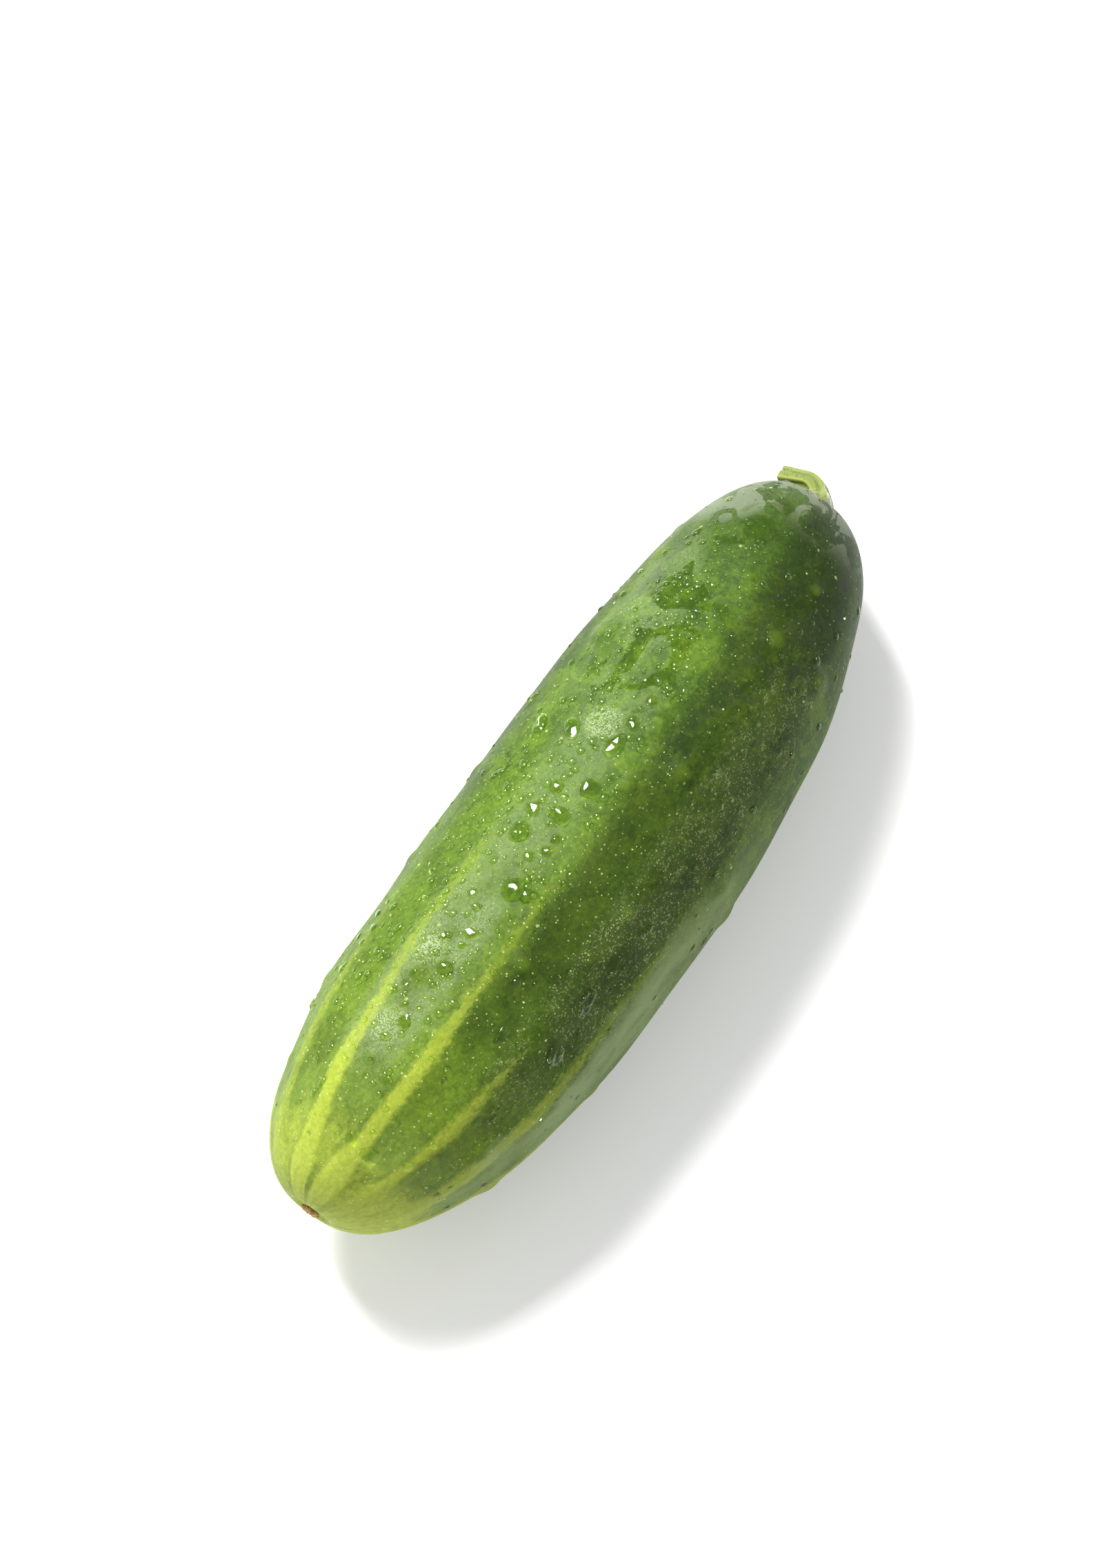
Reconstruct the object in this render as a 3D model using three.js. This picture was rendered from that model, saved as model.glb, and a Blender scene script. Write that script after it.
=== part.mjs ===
// A cucumber lying on its belly, in millimetres: a blunt, slightly bowed, warty fruit, the cut stub of its
// stalk, and the small dry remnant of the flower at the other end.
//
// Frame: +Z up, +X along the fruit from the blossom end to the stalk. The origin is on the surface that the
// fruit lies on, under the middle of its box.

import * as THREE from "three";
import { mergeVertices } from "three/addons/utils/BufferGeometryUtils.js";

// Fruit body
const FRUIT_LENGTH = 168;
const FRUIT_RADIUS = 27;
const BLOSSOM_END = { reach: 0.32, roundness: 2.2, bluntness: 2.7 };
const STALK_END = { reach: 0.48, roundness: 2.2, bluntness: 2.85 };
const BELLY = { widest: 0.53, blossomTaper: 0.13, stalkTaper: 0.04 };
const BOW = 4.2;
const SINK = 0.8;

// Relief of the skin
const CARPELS = { count: 3, depth: 0.35, turn: 0.5 };
const RIBS = { count: 12, height: 0.26, turn: 0.0785, fadeStart: 0.3, fadeEnd: 0.75 };
const LUMP_HEIGHT = 0.35;
const WARTS = { count: 58, seed: 4127, spacing: 10, from: 0.1, to: 0.95, radius: 3.2, height: 0.45 };

// Dimples at the two ends, flat out to the inner radius and gone at the outer one
const BLOSSOM_DIMPLE = { inner: 2.5, outer: 5, depth: 1.2 };
const STALK_DIMPLE = { inner: 4.2, outer: 7.5, depth: 1.6 };

// Middle of the whole's box, measured from the middle of the fruit's length: the origin is moved under it
const BOX_MIDDLE = { x: 2.26, y: -1.26 };

// Pieces that sit in the dimples, each a hair clear of the skin
const GAP = 0.3;
const STALK = { length: 12.5, neck: 2, foot: 3.7, cut: 2.3, ribs: 5, ribHeight: 0.22 };
const STALK_BEND = { radius: 4.3, turn: 1.8, lean: -0.5 };
const REMNANT = { radius: 1.7, height: 1.3, lobes: 5, lobeDepth: 0.2 };

// Mesh fineness
const FRUIT_AROUND = 76;
const FRUIT_ALONG = 74;
const END_CROWDING = { rings: 2.2, radius: 7 };
const STALK_AROUND = 30;
const REMNANT_AROUND = 20;

const LENGTHWISE = new THREE.Vector3(1, 0, 0);
const clamp01 = (value) => Math.min(Math.max(value, 0), 1);
const smooth = (low, high, value) => THREE.MathUtils.smoothstep(value, low, high);

// Whole-number generator, so that the warts fall in the same places on every run.
function seededDraws(seed) {
  const multiplier = 48271;
  const modulus = 2147483647;
  let state = seed;
  return () => {
    state = (state * multiplier) % modulus;
    return state / modulus;
  };
}

// Share of the full radius left at a distance from one end, which is rounded over its reach.
function endCap(distance, { reach, roundness, bluntness }) {
  const inward = 1 - clamp01(distance / (reach * FRUIT_LENGTH));
  return (1 - inward ** roundness) ** (1 / bluntness);
}

// Radius of the plain fruit at a share of its length, 0 at the blossom end and 1 at the stalk.
function fruitRadius(share) {
  const side = share - BELLY.widest;
  const taper = side < 0 ? BELLY.blossomTaper : BELLY.stalkTaper;
  const span = side < 0 ? BELLY.widest : 1 - BELLY.widest;
  const belly = 1 - taper * (side / span) ** 2;
  const blossom = endCap(share * FRUIT_LENGTH, BLOSSOM_END);
  const stalk = endCap((1 - share) * FRUIT_LENGTH, STALK_END);
  return FRUIT_RADIUS * belly * blossom * stalk;
}

// Sideways place of the fruit's centre line: both ends lean to +Y and the middle to -Y.
const bowAt = (share) => BOW * ((2 * share - 1) ** 2 - 1 / 3);

// Low lumps that keep the skin from looking turned on a lathe.
function lumpsAt(share, angle) {
  const along = share * Math.PI * 2;
  const first = Math.sin(2 * angle + 3.1 * along) * Math.cos(2.2 * along + 0.7);
  const second = Math.sin(3 * angle - 4.7 * along + 1.9) * 0.8;
  const third = Math.sin(5 * angle + 6.3 * along + 4.2) * 0.5;
  return (LUMP_HEIGHT * (first + second + third)) / 2;
}

// Places warts one by one, dropping each that would stand too near an earlier one.
function placeWarts() {
  const draw = seededDraws(WARTS.seed);
  const placed = [];
  while (placed.length < WARTS.count) {
    const share = THREE.MathUtils.lerp(WARTS.from, WARTS.to, draw());
    const angle = draw() * Math.PI * 2;
    const size = THREE.MathUtils.lerp(0.75, 1.2, draw());
    const radius = fruitRadius(share);
    const point = new THREE.Vector3(share * FRUIT_LENGTH, radius * Math.cos(angle), radius * Math.sin(angle));
    if (placed.every((wart) => wart.point.distanceTo(point) > WARTS.spacing)) {
      placed.push({ point, size });
    }
  }
  return placed;
}

// Height of the wart, if any, that covers a point of the plain fruit.
function wartHeight(point, warts) {
  let height = 0;
  for (const wart of warts) {
    const share = wart.point.distanceTo(point) / (WARTS.radius * wart.size);
    if (share < 1) {
      height = Math.max(height, WARTS.height * wart.size * (1 - share * share) ** 2);
    }
  }
  return height;
}

// How far a point near an end is drawn in by the dimple there.
const dimpleDepth = (offAxis, { inner, outer, depth }) => depth * (1 - smooth(inner, outer, offAxis));

// Shares of the length for the rings of the skin: even steps along its outline, and closer ones in the dimples.
function ringShares(count) {
  const samples = 20000;
  const shareOf = (index) => (1 - Math.cos((Math.PI * index) / samples)) / 2;
  const efforts = [0];
  for (let i = 1; i <= samples; i += 1) {
    const radius = fruitRadius(shareOf(i));
    const run = (shareOf(i) - shareOf(i - 1)) * FRUIT_LENGTH;
    const step = Math.hypot(run, radius - fruitRadius(shareOf(i - 1)));
    const crowding = 1 + END_CROWDING.rings * Math.exp(-((radius / END_CROWDING.radius) ** 2));
    efforts.push(efforts[i - 1] + step * crowding);
  }
  const shares = [];
  let at = 0;
  for (let ring = 0; ring <= count; ring += 1) {
    const wanted = (efforts[samples] * ring) / count;
    while (at < samples && efforts[at] < wanted) at += 1;
    shares.push(shareOf(at));
  }
  return shares;
}

// Point of the finished skin at a share of the length and an angle round it, seen from the stalk.
function skinPoint(share, angle, warts) {
  const plain = fruitRadius(share);
  const fade = smooth(0, 0.12, share) * (1 - smooth(0.9, 1, share));
  const ribFade = smooth(0, 0.1, share) * (1 - smooth(RIBS.fadeStart, RIBS.fadeEnd, share));
  const rib = RIBS.height * ribFade * Math.cos(RIBS.count * (angle - RIBS.turn));
  const carpel = CARPELS.depth * fade * Math.cos(CARPELS.count * (angle - CARPELS.turn));
  const flat = new THREE.Vector3(share * FRUIT_LENGTH, plain * Math.cos(angle), plain * Math.sin(angle));
  const relief = rib + carpel + fade * lumpsAt(share, angle) + wartHeight(flat, warts);
  const radius = plain + (plain > 0 ? relief : 0);
  const end = share < 0.5
    ? dimpleDepth(plain, BLOSSOM_DIMPLE)
    : -dimpleDepth(plain, STALK_DIMPLE);
  const point = new THREE.Vector3(
    (share - 0.5) * FRUIT_LENGTH + end,
    radius * Math.cos(angle) + bowAt(share),
    radius * Math.sin(angle) + FRUIT_RADIUS - SINK,
  );
  point.z = Math.max(point.z, 0);
  return point;
}

// Turns an outline round +X, then moves each vertex by a rule of its distance along X, its radius and its angle.
function turned(outline, around, place) {
  const profile = outline.map(([along, radius]) => new THREE.Vector2(radius, along));
  const geometry = new THREE.LatheGeometry(profile, around);
  geometry.deleteAttribute("normal");
  geometry.deleteAttribute("uv");
  const position = geometry.getAttribute("position");
  for (let i = 0; i < position.count; i += 1) {
    const radius = Math.hypot(position.getX(i), position.getZ(i));
    const angle = Math.atan2(position.getX(i), position.getZ(i));
    const point = place(position.getY(i), radius, angle);
    position.setXYZ(i, point.x, point.y, point.z);
  }
  return mergeVertices(geometry, 1e-3);
}

function fruitGeometry() {
  const warts = placeWarts();
  const outline = ringShares(FRUIT_ALONG).map((share) => [share, fruitRadius(share)]);
  return turned(outline, FRUIT_AROUND, (share, _radius, angle) => skinPoint(share, angle, warts));
}

// The stalk is turned straight, ribbed, and then bent over to +Y, as it lies against the fruit's shoulder.
function stalkGeometry() {
  const foot = (share) => (STALK.foot - STALK.neck) * (1 - smooth(0, 0.3, share));
  const swell = (share) => (STALK.cut - STALK.neck) * smooth(0.55, 1, share);
  const outline = [[0, 0]];
  const steps = 16;
  for (let i = 0; i <= steps; i += 1) {
    const share = i / steps;
    outline.push([share * STALK.length, STALK.neck + foot(share) + swell(share)]);
  }
  outline.push([STALK.length + 0.35, STALK.cut * 0.8], [STALK.length + 0.35, 0]);

  return turned(outline, STALK_AROUND, (along, radius, angle) => {
    const ribbed = radius > 0 ? radius + STALK.ribHeight * Math.cos(STALK.ribs * angle) : 0;
    const turn = Math.min(along / STALK_BEND.radius, STALK_BEND.turn);
    const straight = along - turn * STALK_BEND.radius;
    const reach = STALK_BEND.radius - ribbed * Math.cos(angle);
    const out = reach * Math.sin(turn) + straight * Math.cos(turn);
    const over = STALK_BEND.radius - reach * Math.cos(turn) + straight * Math.sin(turn);
    const bent = new THREE.Vector3(out, over, ribbed * Math.sin(angle));
    return bent.applyAxisAngle(LENGTHWISE, STALK_BEND.lean);
  });
}

// The remnant of the flower: a low button with a ragged, five-lobed rim.
function remnantGeometry() {
  const outline = [
    [-REMNANT.height, 0],
    [-REMNANT.height * 0.85, REMNANT.radius * 0.45],
    [-REMNANT.height * 0.7, REMNANT.radius * 0.8],
    [-REMNANT.height * 0.35, REMNANT.radius],
    [0, REMNANT.radius * 0.75],
    [0, 0],
  ];
  return turned(outline, REMNANT_AROUND, (along, radius, angle) => {
    const ragged = radius * (1 + REMNANT.lobeDepth * Math.cos(REMNANT.lobes * angle));
    return new THREE.Vector3(along, ragged * Math.cos(angle), ragged * Math.sin(angle));
  });
}

function piece(name, geometry, colour, roughness) {
  const material = new THREE.MeshStandardMaterial({ color: colour, roughness, metalness: 0 });
  const mesh = new THREE.Mesh(geometry, material);
  mesh.name = name;
  return mesh;
}

const fruit = piece("fruit", fruitGeometry(), 0x5f8429, 0.3);
const stalk = piece("stalk", stalkGeometry(), 0xa1ab3a, 0.6);
const remnant = piece("blossom_remnant", remnantGeometry(), 0x9a6b3c, 0.85);

stalk.position.set(
  FRUIT_LENGTH / 2 - STALK_DIMPLE.depth + GAP,
  bowAt(1),
  FRUIT_RADIUS - SINK,
);
remnant.position.set(
  -FRUIT_LENGTH / 2 + BLOSSOM_DIMPLE.depth - GAP,
  bowAt(0),
  FRUIT_RADIUS - SINK,
);

const cucumber = new THREE.Group();
cucumber.add(fruit, stalk, remnant);
cucumber.position.set(-BOX_MIDDLE.x, -BOX_MIDDLE.y, 0);

export default cucumber;
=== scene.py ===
"""A wet cucumber lying on a white table, in metres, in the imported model's frame.

The skin, the cut stalk and the dry blossom scar replace the plain solids of the same form. Hairs and water
are added on them. +X runs along the fruit from the blossom end to the stalk, and +Z is up.
"""

import logging
import math
from dataclasses import dataclass, field, fields, replace
from enum import Enum

import bpy
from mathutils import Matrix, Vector
from mathutils.bvhtree import BVHTree


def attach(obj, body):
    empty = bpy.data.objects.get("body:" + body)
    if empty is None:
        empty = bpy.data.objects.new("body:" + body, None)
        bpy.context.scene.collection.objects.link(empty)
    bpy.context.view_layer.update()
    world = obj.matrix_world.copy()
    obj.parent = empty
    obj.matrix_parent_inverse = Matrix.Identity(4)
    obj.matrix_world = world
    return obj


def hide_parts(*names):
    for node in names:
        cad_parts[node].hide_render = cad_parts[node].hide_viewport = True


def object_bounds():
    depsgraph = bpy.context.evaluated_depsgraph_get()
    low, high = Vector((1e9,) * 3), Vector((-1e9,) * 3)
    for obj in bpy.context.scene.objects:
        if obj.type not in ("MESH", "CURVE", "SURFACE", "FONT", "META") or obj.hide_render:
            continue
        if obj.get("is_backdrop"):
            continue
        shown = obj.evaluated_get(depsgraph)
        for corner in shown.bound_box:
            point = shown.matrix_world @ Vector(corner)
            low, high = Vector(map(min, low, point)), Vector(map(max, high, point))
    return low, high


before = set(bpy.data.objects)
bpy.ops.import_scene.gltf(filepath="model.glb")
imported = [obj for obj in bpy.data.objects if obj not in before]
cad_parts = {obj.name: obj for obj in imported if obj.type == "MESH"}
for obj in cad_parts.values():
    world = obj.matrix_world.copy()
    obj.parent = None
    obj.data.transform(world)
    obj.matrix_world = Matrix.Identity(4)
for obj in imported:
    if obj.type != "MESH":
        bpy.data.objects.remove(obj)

LOG = logging.getLogger("cucumber")
MM = 0.001
BODY = "root"

# Middle of the whole's box, measured from the middle of the fruit's length, as in the part's source.
BOX_MIDDLE = Vector((2.26 * MM, -1.26 * MM, 0.0))

# From the fruit to the middle of the one bright lamp.
LAMP_WAY = (0.22, 0.56, 0.8)

# Camera: over the fruit, a little towards its blossom end, turned so that the stalk points up and right.
VIEW_ELEVATION = math.radians(74.5)
VIEW_AZIMUTH = math.radians(-55.3)
VIEW_DISTANCE = 1.0
VIEW_HEIGHT_ANGLE = math.radians(16.79)
VIEW_AIM = Vector((0.0, 0.0, 0.026))
VIEW_SLIDE_RIGHT = -6.2 * MM
VIEW_SLIDE_UP = 13.1 * MM


def paint(red: int, green: int, blue: int) -> tuple[float, float, float, float]:
    """Linear colour with full alpha, from display values of 0 to 255."""
    def linear(value: int) -> float:
        """One display channel as light."""
        share = value / 255
        return share / 12.92 if share <= 0.04045 else ((share + 0.055) / 1.055) ** 2.4
    return linear(red), linear(green), linear(blue), 1.0


def put(name: str, data: bpy.types.ID) -> bpy.types.Object:
    """Make an object of some data and link it into the scene."""
    placed = bpy.data.objects.new(name, data)
    bpy.context.scene.collection.objects.link(placed)
    return placed


class Field:
    """A number that flows through a node tree. Arithmetic on it adds Math nodes."""

    def __init__(self, graph: "Graph", socket: bpy.types.NodeSocket) -> None:
        """Wrap an output socket of a node in the graph."""
        self.graph = graph
        self.socket = socket

    def math(self, operation: str, *others: "Number") -> "Field":
        """Pass the field through a Math node.

        Args:
            operation: Blender's name of the operation.
            others: The second and third operand, if the operation has them.

        Returns:
            The node's result.
        """
        node = self.graph.node("ShaderNodeMath", {0: self}, operation=operation)
        for index, other in enumerate(others, start=1):
            self.graph.feed(node.inputs[index], other)
        return Field(self.graph, node.outputs[0])

    def after(self, operation: str, first: "Number") -> "Field":
        """As math, with the field as the second operand."""
        node = self.graph.node("ShaderNodeMath", {0: first, 1: self}, operation=operation)
        return Field(self.graph, node.outputs[0])

    def __add__(self, other: "Number") -> "Field":
        """Sum."""
        return self.math("ADD", other)

    def __radd__(self, other: float) -> "Field":
        """Sum with a plain number first."""
        return self.math("ADD", other)

    def __sub__(self, other: "Number") -> "Field":
        """Difference."""
        return self.math("SUBTRACT", other)

    def __rsub__(self, other: float) -> "Field":
        """Difference with a plain number first."""
        return self.after("SUBTRACT", other)

    def __mul__(self, other: "Number") -> "Field":
        """Product."""
        return self.math("MULTIPLY", other)

    def __rmul__(self, other: float) -> "Field":
        """Product with a plain number first."""
        return self.math("MULTIPLY", other)

    def __truediv__(self, other: "Number") -> "Field":
        """Quotient."""
        return self.math("DIVIDE", other)

    def __rtruediv__(self, other: float) -> "Field":
        """Quotient of a plain number and the field."""
        return self.after("DIVIDE", other)

    def __pow__(self, other: "Number") -> "Field":
        """Power."""
        return self.math("POWER", other)


Number = float | Field


def sine(angle: Number) -> Number:
    """Sine of a number or a field, in radians."""
    return angle.math("SINE") if isinstance(angle, Field) else math.sin(angle)


def cosine(angle: Number) -> Number:
    """Cosine of a number or a field, in radians."""
    return angle.math("COSINE") if isinstance(angle, Field) else math.cos(angle)


def larger(first: Number, second: Number) -> Number:
    """The larger of two numbers or fields."""
    if isinstance(first, Field):
        return first.math("MAXIMUM", second)
    return second.math("MAXIMUM", first) if isinstance(second, Field) else max(first, second)


def smaller(first: Number, second: Number) -> Number:
    """The smaller of two numbers or fields."""
    if isinstance(first, Field):
        return first.math("MINIMUM", second)
    return second.math("MINIMUM", first) if isinstance(second, Field) else min(first, second)


def clamp01(value: Number) -> Number:
    """A number or a field kept between 0 and 1."""
    return smaller(larger(value, 0.0), 1.0)


def below(value: Number, limit: Number) -> Number:
    """1 where the value is less than the limit, and 0 elsewhere."""
    if isinstance(value, Field):
        return value.math("LESS_THAN", limit)
    return 1.0 if value < limit else 0.0


def smooth(low: Number, high: Number, value: Number) -> Number:
    """Smooth step of a number or a field from 0 at low to 1 at high."""
    share = clamp01((value - low) / (high - low))
    return share * share * (3.0 - 2.0 * share)


class Graph:
    """A node tree with short calls for placing its nodes and joining them."""

    def __init__(self, tree: bpy.types.NodeTree) -> None:
        """Start on an existing tree."""
        self.tree = tree

    def feed(self, socket: bpy.types.NodeSocket, value: object) -> None:
        """Link a field or a socket into an input, or set the input's own value."""
        if isinstance(value, Field):
            self.tree.links.new(value.socket, socket)
        elif isinstance(value, bpy.types.NodeSocket):
            self.tree.links.new(value, socket)
        else:
            socket.default_value = value

    @staticmethod
    def pick(sockets: bpy.types.bpy_prop_collection, key: int | str) -> bpy.types.NodeSocket:
        """The socket of that index, or the enabled one of that name."""
        if isinstance(key, int):
            return sockets[key]
        return next(socket for socket in sockets if socket.name == key and socket.enabled)

    def node(self, kind: str, inputs: dict | None = None, **settings: object) -> bpy.types.Node:
        """Add a node.

        Args:
            kind: Blender's identifier of the node type.
            inputs: Value, field or socket for each input, by its name or index.
            settings: The node's own properties.

        Returns:
            The new node.
        """
        node = self.tree.nodes.new(kind)
        for name, value in settings.items():
            setattr(node, name, value)
        for key, value in (inputs or {}).items():
            self.feed(self.pick(node.inputs, key), value)
        return node

    def out(self, kind: str, output: int | str, inputs: dict | None = None, **settings: object) -> Field:
        """Add a node and return one of its outputs as a field."""
        return Field(self, self.pick(self.node(kind, inputs, **settings).outputs, output))

    def vector(self, x: Number, y: Number, z: Number) -> Field:
        """Join three numbers to a vector."""
        return self.out("ShaderNodeCombineXYZ", "Vector", {"X": x, "Y": y, "Z": z})

    def split(self, vector: object) -> tuple[Field, Field, Field]:
        """The three parts of a vector."""
        node = self.node("ShaderNodeSeparateXYZ", {"Vector": vector})
        return tuple(Field(self, socket) for socket in node.outputs)

    def moved(self, vector: object, operation: str, other: object) -> Field:
        """Pass a vector through a Vector Math node."""
        return self.out("ShaderNodeVectorMath", "Vector", {0: vector, 1: other}, operation=operation)

    def dot(self, first: object, second: object) -> Field:
        """Dot product of two vectors."""
        return self.out("ShaderNodeVectorMath", "Value", {0: first, 1: second}, operation="DOT_PRODUCT")

    def distance(self, first: object, second: object) -> Field:
        """Distance between two points."""
        return self.out("ShaderNodeVectorMath", "Value", {0: first, 1: second}, operation="DISTANCE")

    def carried(self, name: str) -> Field:
        """A number that the mesh under a material carries."""
        return self.out("ShaderNodeAttribute", "Fac", attribute_name=name)

    def stretched(self, vector: object, along: float) -> Field:
        """A place whose patterns come out longer along X by that factor."""
        return self.moved(vector, "MULTIPLY", (1 / along, 1.0, 1.0))

    def noise(self, vector: object, size: Number, detail: float = 2.0, distortion: float = 0.0,
              ragged: float = 0.5) -> Field:
        """Soft noise between 0 and 1.

        Args:
            vector: The place to read it at.
            size: Rough size of its blotches, in metres.
            detail: Octaves of finer noise on top.
            distortion: How far the pattern is swirled.
            ragged: How strong the finer octaves are.

        Returns:
            The noise, about 0.5 on average.
        """
        inputs = {"Vector": vector, "Scale": 1.0 / size, "Detail": detail, "Roughness": ragged,
                  "Distortion": distortion}
        return self.out("ShaderNodeTexNoise", 0, inputs)

    def cells(self, vector: object, size: Number, feature: str = "F1") -> Field:
        """Distance in a cell pattern, as a share of the cells' size."""
        inputs = {"Vector": vector, "Scale": 1.0 / size}
        return self.out("ShaderNodeTexVoronoi", "Distance", inputs, feature=feature)

    def blend(self, share: Number, first: object, second: object) -> Field:
        """Blend two colours by a share of the second."""
        node = self.node("ShaderNodeMix", {0: share, 6: first, 7: second}, data_type="RGBA")
        return Field(self, node.outputs[2])

    def ramp(self, value: Number, stops: dict[float, tuple]) -> Field:
        """Colour that follows a value through a few stops."""
        node = self.node("ShaderNodeValToRGB", {0: value})
        ramp = node.color_ramp
        ramp.interpolation = "EASE"
        for index, (place, colour) in enumerate(stops.items()):
            stop = ramp.elements[index] if index < 2 else ramp.elements.new(place)
            stop.position = place
            stop.color = colour
        return Field(self, node.outputs[0])

    def steps(self, value: Number, numbers: list[tuple]) -> tuple[Field, Field]:
        """Numbers that change in equal steps as a value runs from 0 to 1.

        Args:
            value: The value.
            numbers: Four numbers for each step.

        Returns:
            The first three numbers as a colour, and the fourth.
        """
        node = self.node("ShaderNodeValToRGB", {0: value + 0.5 / len(numbers)})
        ramp = node.color_ramp
        ramp.interpolation = "CONSTANT"
        for index, entry in enumerate(numbers):
            place = index / len(numbers)
            stop = ramp.elements[index] if index < 2 else ramp.elements.new(place)
            stop.position = place
            stop.color = entry
        return Field(self, node.outputs[0]), Field(self, node.outputs[1])

    def place(self) -> Field:
        """Object coordinates of the surface."""
        return self.out("ShaderNodeTexCoord", "Object")


class Effect:
    """A shader node group with named inputs and outputs, built once and used by several finishes."""

    def __init__(self, name: str, inputs: dict[str, float], output: str) -> None:
        """Make the group's tree with its sockets.

        Args:
            name: The group's name.
            inputs: Default of each number that the group takes. It takes the place as a vector too.
            output: Name of the one number that it gives.
        """
        self.tree = bpy.data.node_groups.new(name, "ShaderNodeTree")
        self.tree.interface.new_socket("Place", in_out="INPUT", socket_type="NodeSocketVector")
        for key, value in inputs.items():
            socket = self.tree.interface.new_socket(key, in_out="INPUT", socket_type="NodeSocketFloat")
            socket.default_value = value
        self.tree.interface.new_socket(output, in_out="OUTPUT", socket_type="NodeSocketFloat")
        self.output = output
        self.graph = Graph(self.tree)
        self.entry = self.graph.node("NodeGroupInput")

    def given(self, name: str) -> Field:
        """One of the group's inputs, as a field inside it."""
        return Field(self.graph, self.entry.outputs[name])

    def gives(self, value: Field) -> "Effect":
        """Close the group with its result."""
        self.graph.node("NodeGroupOutput", {self.output: value})
        return self

    def on(self, graph: Graph, place: Field, **values: Number) -> Field:
        """Place the group in a material.

        Args:
            graph: The material's graph.
            place: The coordinates that the pattern reads.
            values: The group's numbers, with an underscore for each space in a name.

        Returns:
            The group's result.
        """
        inputs = {"Place": place, **{key.replace("_", " "): value for key, value in values.items()}}
        node = graph.tree.nodes.new("ShaderNodeGroup")
        node.node_tree = self.tree
        for key, value in inputs.items():
            graph.feed(node.inputs[key], value)
        return Field(graph, node.outputs[self.output])


def mottle_effect() -> Effect:
    """Cloudy unevenness of plant tissue, at two sizes, about 0.5 on average."""
    effect = Effect("Plant Mottle", {"Size": 6 * MM, "Stretch": 1.0}, "Shade")
    x, y, z = effect.graph.split(effect.given("Place"))
    place = effect.graph.vector(x / effect.given("Stretch"), y, z)
    size = effect.given("Size")
    broad = effect.graph.noise(place, size, detail=4.0, distortion=0.4, ragged=0.6)
    fine = effect.graph.noise(place, size * 0.16, detail=3.0, ragged=0.6)
    return effect.gives(broad * 0.7 + fine * 0.3)


def speckle_effect() -> Effect:
    """Tiny uneven dots scattered over a surface, up to 1 inside a dot and 0 outside."""
    effect = Effect("Speckle", {"Spacing": 1 * MM, "Radius": 0.15 * MM, "Share": 0.5}, "Dots")
    place = effect.given("Place")
    spacing = effect.given("Spacing")
    node = effect.graph.node("ShaderNodeTexVoronoi", {"Vector": place, "Scale": 1.0 / spacing})
    distance = Field(effect.graph, node.outputs["Distance"]) * spacing
    chance, lot, glow = effect.graph.split(node.outputs["Color"])
    radius = effect.given("Radius") * (0.5 + lot)
    wobble = effect.graph.noise(place, effect.given("Radius") * 1.4, detail=1.0) - 0.5
    dot = 1.0 - smooth(0.5, 1.0, distance / radius + wobble * 1.6)
    return effect.gives(dot * below(chance, effect.given("Share")) * (0.3 + 0.7 * glow))


def film_effect() -> Effect:
    """Puddles of a thin water film with crisp edges: 1 in the wet patches and 0 on the dewy skin."""
    effect = Effect("Water Film", {"Size": 9 * MM, "Cover": 0.5, "Edge": 0.02}, "Film")
    place = effect.given("Place")
    size = effect.given("Size")
    shape = effect.graph.noise(place, size, detail=4.0, distortion=0.9)
    bar = 1.0 - effect.given("Cover")
    edge = effect.given("Edge")
    return effect.gives(smooth(bar - edge, bar + edge, shape))


@dataclass(frozen=True)
class Effects:
    """The node groups that several finishes share."""

    mottle: Effect = field(default_factory=mottle_effect)
    speckle: Effect = field(default_factory=speckle_effect)
    film: Effect = field(default_factory=film_effect)


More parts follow.
